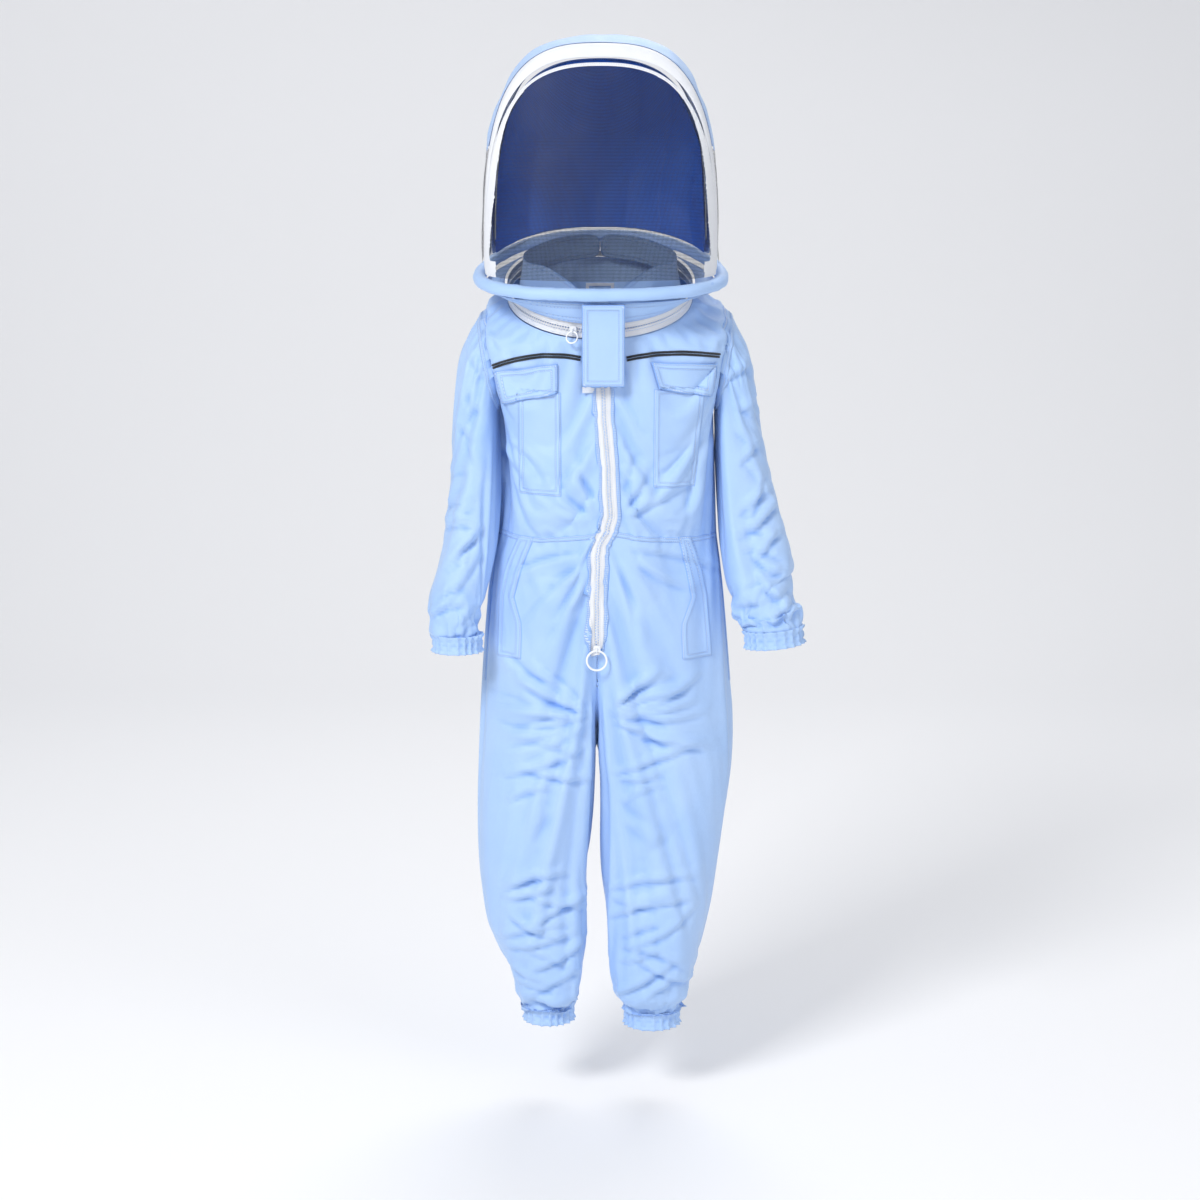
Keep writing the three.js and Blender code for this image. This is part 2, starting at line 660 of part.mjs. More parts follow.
// Evenly spaced places along a rounded arch: s from 0 to 1 goes from the right foot over the top
// to the left foot, and gives [side, rise], each a share of the arch's half width and height.
const ARCH_POWER = 3.1;
const archTable = (() => {
  const steps = 360;
  const places = [];
  let length = 0;
  let last = null;
  for (let i = 0; i <= steps; i++) {
    const [c, s] = squared(180 - (180 * i) / steps, ARCH_POWER);
    const p = new THREE.Vector2(c * 176, s * 336);
    if (last) length += p.distanceTo(last);
    last = p;
    places.push([length, c, s]);
  }
  return places.map(([l, c, s]) => [l / length, c, s]);
})();
const arch = (s) => station(archTable, s);

const FRONT_FOOT = 16; // degrees of the base ring in front of the side where the front hoop stands
const REAR_FOOT = 21;
const STAND = ROLL + 1.5; // height of the hood's cloth above the ring's middle
// The hood's ridge from front to back, by hoop number: 1 is the front hoop, 2 the rear one.
const ridge = [
  [1, -100, 330],
  [1.5, -14, HOOD_TOP],
  [2, 78, 334],
];
// A point of the hood: s along each arch; hoop runs from 0, the ring's front, over the front
// hoop, 1, and the rear hoop, 2, to the ring's back, 3.
function hoodPoint(s, hoop) {
  const onArch = (number) => {
    const angle = lerp(-FRONT_FOOT, REAR_FOOT, clamp(number - 1, 0, 1));
    const foot = ringPoint(s < 0.5 ? 180 - angle : angle, -5, STAND);
    const [side, rise] = arch(s);
    const [y, z] = station(ridge, number);
    return V(Math.abs(foot.x) * side, lerp(foot.y, y, rise), lerp(foot.z, z, rise));
  };
  const onRing = (from, to) => ringPoint(lerp(from, to, s), -3, STAND);
  const swell = Math.sin(Math.PI * s);
  if (hoop < 1) {
    const low = onRing(-180 + FRONT_FOOT, -FRONT_FOOT);
    return low.lerp(onArch(1), hoop).add(V(0, -30 * swell * hoop * (1 - hoop), 0));
  }
  if (hoop <= 2) return onArch(hoop);
  const low = onRing(180 - REAR_FOOT, REAR_FOOT);
  return onArch(2).lerp(low, hoop - 2).add(V(0, 130 * swell * (hoop - 2) * (3 - hoop), 0));
}

const VEIL_SIDE = 0.2; // share of the arch that the side netting takes from each foot
function makeHood() {
  const part = (s0, s1, h0, h1) => (s, t) => hoodPoint(lerp(s0, s1, s), lerp(h0, h1, t));
  // A binding folds over its hoop: half of it lies before the hoop and half behind.
  const binding = (s0, s1, h0, hoop, h1) => (s, t) =>
    hoodPoint(lerp(s0, s1, s), t < 0.5 ? lerp(h0, hoop, 2 * t) : lerp(hoop, h1, 2 * t - 1));
  const piece = (name, place, steps, wall, look, toward) =>
    add(name, sheet(part(...place), steps[0], steps[1], wall, { toward }), look);
  const [a, b] = [0.945, 1.075]; // the front arch binding
  const [c, d] = [1.94, 2.045]; // the rear arch binding
  const e = 0.02;
  piece("front_veil", [0.035, 0.965, 0.02, a - e], [16, 7], NET, "net", V(0, 1, 0));
  const tape = CLOTH - 1.5;
  add("front_arch_binding", sheet(binding(0.004, 0.996, a, 1, b), 26, 2, tape), "white");
  piece("hood_crown", [VEIL_SIDE, 1 - VEIL_SIDE, b + e, c - e], [14, 4], CLOTH - 1, "cloth", V(0, 0, -1));
  const side = VEIL_SIDE - 0.004;
  piece("side_veil_right", [0.012, side, b + e, c - e], [4, 4], NET, "net", V(1, 0, 0));
  piece("side_veil_left", [1 - side, 0.988, b + e, c - e], [4, 4], NET, "net", V(-1, 0, 0));
  add("rear_arch_binding", sheet(binding(0.004, 0.996, c, 2, d), 26, 2, tape), "white");
  piece("hood_back", [0.03, 0.97, d + e, 2.99], [16, 7], CLOTH - 1, "cloth", V(0, -1, 0));
  for (const [name, hoop] of [["front_hoop", 1], ["rear_hoop", 2]]) {
    const shrink = CLOTH + HOOP + 2.5;
    const steps = 22;
    const path = Array.from({ length: steps + 1 }, (_, i) => {
      const s = lerp(0.03, 0.97, i / steps);
      const p = hoodPoint(s, hoop);
      const inward = V(-Math.sign(p.x) * Math.min(Math.abs(p.x) / 40, 1), 0, -1 * smoothTop(p.z));
      return p.addScaledVector(inward.normalize(), shrink).add(V(0, hoop === 1 ? 5 : -5, 0));
    });
    const frameAt = (p, i) => {
      const next = path[Math.min(i + 1, steps)];
      const along = next.clone().sub(path[Math.max(i - 1, 0)]).normalize();
      const across = V(0, 1, 0).cross(along).normalize();
      return [across, along.clone().cross(across).normalize()];
    };
    add(name, sweep(polygon(HOOP, 5), path, frameAt, false), "wire");
  }
}
const smoothTop = (z) => clamp((z - 180) / 120, 0, 1);

// ---------------------------------------------------------------- chest tab
function makeTab() {
  const depth = [[TAB.top, -168], [-62, -162], [-84, -158], [-120, -153], [TAB.bottom, -147]];
  const point = (s, t) => {
    const z = lerp(TAB.top, TAB.bottom, t);
    return V(lerp(TAB.right, TAB.left, s), station(depth, z)[0], z);
  };
  add("chest_tab", sheet(point, 2, 8, PATCH, { toward: V(0, 1, 0) }), "cloth");
  const hooks = (s, t) => {
    const z = lerp(-140, TAB.bottom + 3, t);
    return V(lerp(TAB.right + 2, -ZIP_GAP - TAPE_WIDTH, s), station(depth, z)[0] + PATCH + 0.4, z);
  };
  add("tab_hook_patch", sheet(hooks, 1, 1, TAPE, { toward: V(0, 1, 0) }), "white");
}

// ---------------------------------------------------------------- sliders and ring pulls
const LUG = { radius: 3.7, wire: 1 };
const PULL_WIRE = 1.9;
const NECK_PULL_WIRE = 1.4;
const NECK_REST = 15; // degrees that a neck zip's pull stands off at rest
// A slider's upper plate with its lug, facing -Y, its lug's hole along X.
function sliderGeometry() {
  const plate = new THREE.Shape();
  plate.moveTo(-4.2, -7).lineTo(4.2, -7).lineTo(5.6, 1).lineTo(4.4, 7).lineTo(-4.4, 7).lineTo(-5.6, 1);
  const thick = 2.2;
  const body = new THREE.ExtrudeGeometry(plate, { depth: thick, bevelEnabled: false });
  body.rotateX(Math.PI / 2);
  const lug = new THREE.TorusGeometry(LUG.radius, LUG.wire, 5, 10).rotateY(Math.PI / 2);
  lug.translate(0, -thick - LUG.radius + 1, 0);
  return { geometry: geometryOf(solid(body).add(solid(lug))), hole: -thick - LUG.radius + 1 };
}
function pullGeometry(outside, wire) {
  const radius = outside - wire;
  return new THREE.TorusGeometry(radius, wire, 6, 18).rotateX(Math.PI / 2).translate(0, 0, -radius);
}

// The slider's plate lies along `up`; its ring pull hangs straight down from the lug.
function addSlider(names, place, outward, up, outside, wire, rest = 0) {
  const { geometry, hole } = sliderGeometry();
  const slider = add(`${names}_slider`, geometry, "plastic");
  const across = up.clone().cross(outward);
  slider.quaternion.setFromRotationMatrix(
    new THREE.Matrix4().makeBasis(across, outward.clone().negate(), up),
  );
  slider.position.copy(place);
  const pull = add(`${names}_pull`, pullGeometry(outside, wire), "plastic");
  pull.position.copy(place).addScaledVector(outward, -hole);
  pull.rotation.set(radians(-rest), 0, Math.atan2(outward.x, -outward.y), "ZYX");
}

const TOP_SLIDER = -131; // resting heights of the front zip's sliders
const BOTTOM_SLIDER = -562;
const SLIDER_LIFT = 0.8;
function makeSliders() {
  for (const [place, z] of [["top", TOP_SLIDER], ["bottom", BOTTOM_SLIDER]]) {
    const x = zipX(z);
    const y = layY(x, z) - LIFT - TAPE - 1 - SLIDER_LIFT;
    addSlider(`front_zip_${place}`, V(x, y, z), V(0, -1, 0), V(0, 0, 1), PULL, PULL_WIRE);
  }
  for (const [name, angle] of [["right", -106], ["left", -92]]) {
    const place = neckPoint(angle, 0.5 + SLIDER_LIFT, 0);
    const [c, s] = [Math.cos(radians(angle)), Math.sin(radians(angle))];
    const outward = V(c, 0, 0).addScaledVector(neckBack, s);
    addSlider(`neck_zip_${name}`, place, outward, neckUp, NECK_PULL, NECK_PULL_WIRE, NECK_REST);
  }
}

makeBodice();
makeTrousers();
makeSleeves();
makeAnkles();
makeWaistElastic();
frontCloth = suit.children.filter((mesh) => /front_bodice|trouser_front/.test(mesh.name));
for (const mesh of frontCloth) mesh.material.side = THREE.DoubleSide;
makeFrontZip();
makeChest();
makeHipPockets();
makeHangerLoop();
makeCollar();
makeNeckZip();
makeHoodBase();
makeHood();
makeTab();
makeSliders();

export default suit;
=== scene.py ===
import json
import math
import random

import bmesh
import bpy
import numpy as np
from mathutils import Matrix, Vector, noise
from mathutils.bvhtree import BVHTree
from mathutils.kdtree import KDTree

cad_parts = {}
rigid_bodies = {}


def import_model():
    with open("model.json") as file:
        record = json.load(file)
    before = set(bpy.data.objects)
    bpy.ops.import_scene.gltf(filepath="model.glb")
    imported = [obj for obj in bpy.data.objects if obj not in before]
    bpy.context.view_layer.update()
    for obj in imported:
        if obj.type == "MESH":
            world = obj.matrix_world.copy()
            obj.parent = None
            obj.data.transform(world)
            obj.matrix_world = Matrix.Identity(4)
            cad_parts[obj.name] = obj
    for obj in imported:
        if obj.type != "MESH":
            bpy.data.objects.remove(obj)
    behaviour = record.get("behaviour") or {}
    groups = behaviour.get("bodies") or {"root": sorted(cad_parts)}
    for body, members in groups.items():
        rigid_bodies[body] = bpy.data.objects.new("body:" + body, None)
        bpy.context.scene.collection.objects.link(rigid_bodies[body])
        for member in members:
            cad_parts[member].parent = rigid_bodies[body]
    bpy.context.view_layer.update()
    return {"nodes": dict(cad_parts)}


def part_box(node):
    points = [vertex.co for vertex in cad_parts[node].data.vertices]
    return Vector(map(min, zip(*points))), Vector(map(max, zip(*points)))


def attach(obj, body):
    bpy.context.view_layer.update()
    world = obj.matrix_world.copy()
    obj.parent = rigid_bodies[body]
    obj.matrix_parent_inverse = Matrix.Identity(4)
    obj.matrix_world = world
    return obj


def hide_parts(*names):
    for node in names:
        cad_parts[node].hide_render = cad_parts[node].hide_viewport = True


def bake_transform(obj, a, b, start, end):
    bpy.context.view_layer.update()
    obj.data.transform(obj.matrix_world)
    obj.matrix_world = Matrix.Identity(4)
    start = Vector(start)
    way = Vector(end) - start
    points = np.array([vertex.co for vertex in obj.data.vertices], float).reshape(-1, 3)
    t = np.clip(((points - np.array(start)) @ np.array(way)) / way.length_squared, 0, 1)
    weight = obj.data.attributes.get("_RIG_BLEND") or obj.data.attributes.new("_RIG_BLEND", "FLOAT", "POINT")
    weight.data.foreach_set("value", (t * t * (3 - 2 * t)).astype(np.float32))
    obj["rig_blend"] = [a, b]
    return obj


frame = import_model()

# ---------------------------------------------------------------- studio
# A pale floor under the feet of whoever wears the suit, running up into
# a pale wall behind, with three large soft lamps and an even pale surround.
FLOOR = -1.3
scene = bpy.context.scene


def new_object(name, mesh):
    """Puts a mesh in the scene as an object."""
    made = bpy.data.objects.new(name, mesh)
    scene.collection.objects.link(made)
    return made


def mesh_from(name, points, faces, smooth=True):
    """An object from points in metres and faces of point numbers."""
    mesh = bpy.data.meshes.new(name)
    mesh.from_pydata([tuple(p) for p in points], [], faces)
    mesh.validate()
    mesh.polygons.foreach_set("use_smooth", [smooth] * len(mesh.polygons))
    mesh.update()
    return new_object(name, mesh)


class Sock:
    """A shader socket that adds, multiplies and compares like a number."""

    def __init__(self, tree, socket):
        self.tree = tree
        self.socket = socket

    def _math(self, operation, *values):
        return self.tree.node("ShaderNodeMath", {"operation": operation}, *values)[0]

    def __add__(self, other):
        return self._math("ADD", self, other)

    def __radd__(self, other):
        return self._math("ADD", other, self)

    def __sub__(self, other):
        return self._math("SUBTRACT", self, other)

    def __rsub__(self, other):
        return self._math("SUBTRACT", other, self)

    def __mul__(self, other):
        return self._math("MULTIPLY", self, other)

    def __rmul__(self, other):
        return self._math("MULTIPLY", other, self)

    def __truediv__(self, other):
        return self._math("DIVIDE", self, other)

    def __gt__(self, other):
        return self._math("GREATER_THAN", self, other)

    def __lt__(self, other):
        return self._math("LESS_THAN", self, other)

    def __abs__(self):
        return self._math("ABSOLUTE", self)

    def __mod__(self, other):
        return self._math("FLOORED_MODULO", self, other)

    def power(self, other):
        return self._math("POWER", self, other)

    def sine(self):
        return self._math("SINE", self)

    def top(self, other):
        return self._math("MAXIMUM", self, other)

    def low(self, other):
        return self._math("MINIMUM", self, other)

    def ramp(self, start, end):
        """0 before start, 1 after end, and a straight line between them."""
        settings = {"clamp": True}
        return self.tree.node("ShaderNodeMapRange", settings, self, start, end, 0.0, 1.0)[0]


class Finish:
    """A material with one Principled shader, and the nodes that feed it."""

    def __init__(self, name, **sockets):
        self.material = bpy.data.materials.new(name)
        self.material.use_nodes = True
        self.nodes = self.material.node_tree.nodes
        self.links = self.material.node_tree.links
        self.shader = self.nodes["Principled BSDF"]
        for key, value in sockets.items():
            self.set(key.replace("_", " "), value)

    def _give(self, socket, value):
        if isinstance(value, Sock):
            self.links.new(value.socket, socket)
        elif isinstance(value, tuple) and len(value) == 3 and socket.type == "RGBA":
            socket.default_value = (*value, 1.0)
        else:
            socket.default_value = value

    def set(self, name, value):
        self._give(self.shader.inputs[name], value)

    def node(self, kind, settings=None, *values, **named):
        """Adds a node: its settings first, then its sockets in order or by name."""
        made = self.nodes.new(kind)
        for key, value in (settings or {}).items():
            if key == "stops":
                while len(made.color_ramp.elements) < len(value):
                    made.color_ramp.elements.new(0.5)
                for stop, (place, colour) in zip(made.color_ramp.elements, value):
                    stop.position = place
                    stop.color = (*colour, 1.0)
            else:
                setattr(made, key, value)
        open_sockets = [s for s in made.inputs if s.enabled]
        for socket, value in zip(open_sockets, values):
            if value is not None:
                self._give(socket, value)
        for key, value in named.items():
            self._give(made.inputs[key.replace("_", " ")], value)
        return [Sock(self, s) for s in made.outputs if s.enabled]

    def place(self):
        """Object coordinates in metres, as three sockets."""
        where = self.node("ShaderNodeTexCoord")[3]
        return where, *self.node("ShaderNodeSeparateXYZ", None, where)[:3]

    def blotch(self, where, scale, detail=2.0):
        """Soft noise from 0 to 1."""
        settings = {"noise_dimensions": "3D"}
        return self.node("ShaderNodeTexNoise", settings, Vector=where, Scale=scale, Detail=detail)[0]

    def mix(self, factor, first, second):
        """One colour where factor is 0, the other where it is 1."""
        made = self.nodes.new("ShaderNodeMix")
        made.data_type = "RGBA"
        self._give(made.inputs[0], factor)
        self._give(made.inputs[6], first)
        self._give(made.inputs[7], second)
        return Sock(self, made.outputs[2])

    def bump(self, height, distance, strength=1.0, below=None):
        """A bump of that height in metres, over another bump if there is one."""
        made = self.nodes.new("ShaderNodeBump")
        self._give(made.inputs["Height"], height)
        self._give(made.inputs["Distance"], distance)
        self._give(made.inputs["Strength"], strength)
        if below is not None:
            self.links.new(below.socket, made.inputs["Normal"])
        return Sock(self, made.outputs["Normal"])


def colour(code):
    """A hex colour such as a9cbf7 as linear red, green and blue."""
    parts = [int(code[i : i + 2], 16) / 255 for i in (0, 2, 4)]
    return tuple(p / 12.92 if p <= 0.04045 else ((p + 0.055) / 1.055) ** 2.4 for p in parts)


def backdrop():
    width, near, far, bend, height = 24.0, -9.0, 4.5, 1.5, 9.0
    steps = 14
    profile = [(near, FLOOR), (far - bend, FLOOR)]
    for i in range(1, steps + 1):
        turn = math.pi / 2 * i / steps
        profile.append((far - bend + bend * math.sin(turn), FLOOR + bend * (1 - math.cos(turn))))
    profile.append((far, FLOOR + height))
    points = [(x, y, z) for y, z in profile for x in (-width / 2, width / 2)]
    faces = [(2 * i, 2 * i + 1, 2 * i + 3, 2 * i + 2) for i in range(len(profile) - 1)]
    sweep = mesh_from("backdrop", points, faces)
    pale = Finish("pale_paper", Base_Color=colour("f4f4f5"), Roughness=0.9)
    sweep.data.materials.append(pale.material)


def lamp(name, place, aim, size, power):
    data = bpy.data.lights.new(name, "AREA")
    data.shape = "RECTANGLE"
    data.size, data.size_y = size
    data.energy = power
    made = new_object(name, data)
    made.location = place
    made.rotation_euler = (Vector(aim) - Vector(place)).to_track_quat("-Z", "Y").to_euler()


backdrop()
lamp("key_lamp", (-2.2, -3.6, 2.6), (0, 0, -0.4), (1.5, 1.5), 165)
lamp("fill_lamp", (2.8, -3.0, 0.8), (0, 0, -0.5), (2.4, 2.4), 34)
lamp("back_lamp", (0.5, 2.6, 2.6), (0, 0, -0.2), (2.5, 1.5), 50)
world = bpy.data.worlds.new("surround")
world.use_nodes = True
world.node_tree.nodes["Background"].inputs["Color"].default_value = (0.93, 0.95, 1.0, 1)
world.node_tree.nodes["Background"].inputs["Strength"].default_value = 0.5
scene.world = world
scene.view_settings.view_transform = "Standard"

camera = new_object("camera", bpy.data.cameras.new("camera"))
camera.data.lens = 79.1
camera.location = (0, -4.0, 0.2)
camera.rotation_euler = (math.radians(80), 0, 0)
scene.camera = camera


# ---------------------------------------------------------------- coverall cloth
# The body of the suit: light blue cotton twill, cut as front and back bodice
# halves and trouser panels, felled together, and loose on the wearer.
NECK_RADIUS, NECK_TILT, NECK_EDGE = 0.140, math.radians(23), -0.0139
NECK_CENTRE = Vector((0, -0.008, -0.028))
ROUND = 128  # columns of cloth round the body
HALF = ROUND // 2
INSEAM = 24  # columns across the inside of each leg
BODICE_ROWS, HIP_ROWS, LEG_ROWS = 50, 26, 62
CHEST = -0.20
WAIST = (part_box("front_bodice_left")[0].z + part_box("trouser_front_left")[1].z) / 2
HIP_END, CROTCH = -0.600, -0.668


def tree_of(*names):
    """A ray tree of some of the frame's nodes."""
    points, faces = [], []
    for name in names:
        data = frame["nodes"][name].data
        first = len(points)
        points += [v.co.copy() for v in data.vertices]
        faces += [[first + i for i in p.vertices] for p in data.polygons]
    return BVHTree.FromPolygons(points, faces)


def outermost(tree, middle, direction, reach=0.6):
    """Where the frame's cloth lies furthest out from middle along a direction."""
    direction = direction.normalized()
    start = middle + direction * reach
    hit = tree.ray_cast(start, -direction, reach)[0]
    return hit


def spaced(line, count):
    """A line of points again, with count + 1 points at even steps."""
    line = np.array([tuple(p) for p in line])
    run = np.concatenate([[0], np.cumsum(np.linalg.norm(np.diff(line, axis=0), axis=1))])
    at = np.linspace(0, run[-1], count + 1)
    return np.stack([np.interp(at, run, line[:, i]) for i in range(3)], axis=1)


def smoothstep(x):
    x = np.clip(x, 0, 1)
    return x * x * (3 - 2 * x)


teeth = np.array([v.co for v in frame["nodes"]["front_zip_teeth"].data.vertices])
teeth = teeth[np.argsort(teeth[:, 2])]


def zip_x(z):
    """How far to the side the front zip runs at a height."""
    near = np.argsort(np.abs(teeth[:, 2] - z))[:8]
    weight = 1 / (np.abs(teeth[near, 2] - z) + 0.004)
    return float((teeth[near, 0] * weight).sum() / weight.sum())


zip_heights = np.linspace(teeth[0, 2], teeth[-1, 2], 60)
zip_line = np.array([zip_x(z) for z in zip_heights])


def heading(k, z):
    """The level direction of column k at a height; column 0 runs down the zip."""
    turn = 2 * math.pi * k / ROUND - math.pi / 2
    aside = float(np.interp(z, zip_heights, zip_line)) / 0.12
    turn += aside * max(0.0, -math.sin(turn)) ** 2
    return Vector((math.cos(turn), math.sin(turn), 0))


def neck_edge(k):
    turn = 2 * math.pi * k / ROUND - math.pi / 2
    back = Vector((0, math.cos(NECK_TILT), math.sin(NECK_TILT)))
    up = Vector((0, -math.sin(NECK_TILT), math.cos(NECK_TILT)))
    across = Vector((math.cos(turn), 0, 0)) + back * math.sin(turn)
    return NECK_CENTRE + across * NECK_RADIUS + up * NECK_EDGE


def trunk_columns():
    """The columns of the bodice from neck to waist and of the hips below it."""
    bodice = tree_of("front_bodice_left", "front_bodice_right", "back_bodice")
    hips = tree_of(*[f"trouser_{p}_{s}" for p in ("front", "back") for s in ("left", "right")])
    upper, lower = [], []
    for k in range(ROUND):
        chest = Vector((0, 0, CHEST))
        top = neck_edge(k)
        line = [top]
        for share in np.linspace(0.97, 0.0, 40):
            towards = (top - chest).lerp(heading(k, CHEST) * (top - chest).length, 1 - share)
            line.append(outermost(bodice, chest, towards))
        for z in np.linspace(CHEST - 0.008, WAIST + 0.004, 22):
            line.append(outermost(bodice, Vector((0, 0, z)), heading(k, z)))
        line = [p for p in line if p is not None]
        last = line[-1].copy()
        last.z = WAIST
        upper.append(spaced([*line, last], BODICE_ROWS))
        line = [last]
        for z in np.linspace(WAIST - 0.006, HIP_END, 24):
            line.append(outermost(hips, Vector((0, 0, z)), heading(k, z)))
        lower.append(spaced([p for p in line if p is not None], HIP_ROWS))
    return np.array(upper), np.array(lower)


def leg_columns(side, ring):
    """The columns of one leg, from its first ring down to the ankle casing."""
    name = "left" if side > 0 else "right"
    cloth = tree_of(f"trouser_front_{name}", f"trouser_back_{name}")
    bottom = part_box(f"ankle_cuff_{name}")[1].z
    count = len(ring)

    def middle(z):
        start = Vector((0.09 * side, 0.02, z))
        outer = outermost(cloth, start, Vector((side, 0, 0)), 0.3)
        inner = outermost(cloth, start, Vector((-side, 0, 0)), 0.2)
        low = inner.x if inner is not None else -0.004
        return Vector(((outer.x + low) / 2, 0.005, z))

    columns = []
    for j, first in enumerate(ring):
        first = Vector(first)
        even = math.radians(-133 + 360 * j / count)
        here = first - middle(first.z - 0.001)
        own = math.atan2(here.y, side * here.x)
        own = even + (own - even + math.pi) % (2 * math.pi) - math.pi
        line = [first]
        for z in np.arange(first.z - 0.02, bottom + 0.006, -0.011):
            share = float(smoothstep((HIP_END - z) / 0.2))
            turn = own + (even - own) * share
            direction = Vector((side * math.cos(turn), math.sin(turn), 0))
            hit = outermost(cloth, middle(z), direction, 0.2)
            if hit is not None:
                line.append(hit)
        end = line[-1].copy()
        end.z = bottom + 0.0005
        columns.append(spaced([*line, end], LEG_ROWS))
    return np.array(columns)


def crotch_curve(front, back):
    """Between the legs: down from the front middle, under, and up to the back middle."""
    points = []
    for i in range(1, INSEAM):
        share = i / INSEAM
        dip = math.sin(math.pi * share) ** 0.55
        points.append(
            (
                front[0] + (back[0] - front[0]) * share,
                front[1] + (back[1] - front[1]) * (share + 0.04 * math.sin(2 * math.pi * share)),
                HIP_END + (CROTCH - HIP_END) * dip,
            )
        )
    return points


def coverall_grid():
    """Points and faces of the whole coverall without sleeves, with each face's panel."""
    upper, lower = trunk_columns()
    points, faces, panels = [], [], []

    def block(columns, closed, panel, shared=None):
        """Adds a block of columns and returns its point numbers, column by column."""
        rows = columns.shape[1]
        number = np.zeros(columns.shape[:2], int)
        for k, column in enumerate(columns):
            for r, p in enumerate(column):
                if shared is not None and r == 0:
                    number[k, r] = shared[k]
                else:
                    number[k, r] = len(points)
                    points.append(p)
        count = len(columns)
        for k in range(count if closed else count - 1):
            after = (k + 1) % count
            for r in range(rows - 1):
                faces.append((number[k, r], number[k, r + 1], number[after, r + 1], number[after, r]))
                panels.append(panel(k, r))
        return number

    def bodice_panel(k, r):
        quarter = 4 * (k + 0.5) / ROUND
        return 0 if quarter < 1 else 1 if quarter > 3 else 2

    def trouser_panel(k, r):
        return 3 + int(4 * (k + 0.5) / ROUND)

    top = block(upper, True, bodice_panel)
    hips = block(lower, True, trouser_panel, shared=top[:, -1])
    front, back = points[hips[0, -1]], points[hips[HALF, -1]]
    curve = []
    for p in crotch_curve(front, back):
        curve.append(len(points))
        points.append(np.array(p))
    bottoms = []
    for side in (1, -1):
        outside = list(range(0, HALF + 1)) if side > 0 else [-k % ROUND for k in range(0, HALF + 1)]
        ring = [hips[k, -1] for k in outside] + curve[::-1]

        def leg_panel(j, r, side=side, count=len(ring)):
            middle = HALF + INSEAM / 2
            in_front = j + 0.5 < HALF / 2 or j + 0.5 > middle
            return (3 if in_front else 4) if side > 0 else (6 if in_front else 5)

        columns = leg_columns(side, [points[i] for i in ring])
        first = len(faces)
        number = block(columns, True, leg_panel, shared=ring)
        if side < 0:
            faces[first:] = [f[::-1] for f in faces[first:]]
        bottoms.append(number[:, -1])
    return np.array([tuple(p) for p in points]), faces, panels, top, hips, bottoms


points, faces, panels, top, hips, bottoms = coverall_grid()
coverall = mesh_from("coverall_cloth", points, faces)


def skin(node):
    """The outer face of a CAD shell, as an open mesh of quads where it can be."""
    mesh = bmesh.new()
    mesh.from_mesh(frame["nodes"][node].data)
    bmesh.ops.remove_doubles(mesh, verts=mesh.verts, dist=1e-5)
    mesh.normal_update()
    left, parts = set(mesh.faces), []
    while left:
        start = left.pop()
        found, todo = [start], [start]
        while todo:
            face = todo.pop()
            for edge in face.edges:
                for other in edge.link_faces:
                    if other in left and other.normal.dot(face.normal) > 0.5:
                        left.remove(other)
                        found.append(other)
                        todo.append(other)
        parts.append(found)
    parts.sort(key=lambda part: -sum(f.calc_area() for f in part))
    middle = sum((f.calc_center_median() for f in mesh.faces), Vector()) / len(mesh.faces)

    def outward(part):
        return sum((f.calc_center_median() - middle).dot(f.normal) * f.calc_area() for f in part)

    outer = set(max(parts[:2], key=outward))
    bmesh.ops.delete(mesh, geom=[f for f in mesh.faces if f not in outer], context="FACES")
    bmesh.ops.join_triangles(
        mesh, faces=mesh.faces, angle_face_threshold=0.7, angle_shape_threshold=3.0
    )
    return mesh


def from_bmesh(name, mesh, smooth=True):
    data = bpy.data.meshes.new(name)
    mesh.to_mesh(data)
    mesh.free()
    data.polygons.foreach_set("use_smooth", [smooth] * len(data.polygons))
    return new_object(name, data)


def applied(piece, kind, **settings):
    """Adds a modifier to a piece and applies it."""
    modifier = piece.modifiers.new(kind.lower(), kind)
    for key, value in settings.items():
        setattr(modifier, key, value)
    scene.view_layers[0].update()
    fresh = bpy.data.meshes.new_from_object(
        piece.evaluated_get(bpy.context.evaluated_depsgraph_get())
    )
    piece.modifiers.clear()
    piece.data = fresh
    return piece


def coordinates(piece):
    flat = np.zeros(len(piece.data.vertices) * 3, np.float32)
    piece.data.vertices.foreach_get("co", flat)
    return flat.reshape(-1, 3).astype(float)


def set_coordinates(piece, points):
    piece.data.vertices.foreach_set("co", points.astype(np.float32).ravel())
    piece.data.update()


def normals(piece):
    flat = np.zeros(len(piece.data.vertices) * 3, np.float32)
    piece.data.vertex_normals.foreach_get("vector", flat)
    return flat.reshape(-1, 3).astype(float)


def neighbours(piece):
    edges = np.zeros(len(piece.data.edges) * 2, np.int32)
    piece.data.edges.foreach_get("vertices", edges)
    return edges.reshape(-1, 2)


def eased(piece, turns, keep):
    """Smooths a mesh, leaving the points in keep where they are."""
    points, edges = coordinates(piece), neighbours(piece)
    count = np.bincount(edges.ravel(), minlength=len(points))[:, None]
    for _ in range(turns):
        total = np.zeros_like(points)
        np.add.at(total, edges[:, 0], points[edges[:, 1]])
        np.add.at(total, edges[:, 1], points[edges[:, 0]])
        moved = points * 0.5 + total / np.maximum(count, 1) * 0.5
        moved[keep] = points[keep]
        points = moved
    set_coordinates(piece, points)


def wearer(piece, depth):
    """A body inside a piece of clothing for it to lie on."""
    data = piece.data.copy()
    body = new_object(piece.name + "_form", data)
    set_coordinates(body, coordinates(piece) - normals(piece) * depth)
    eased(body, 3, [])
    applied(body, "DECIMATE", ratio=0.25)
    body.modifiers.new("collision", "COLLISION")
    body.collision.thickness_outer = 0.002
    body.collision.cloth_friction = 12
    return body


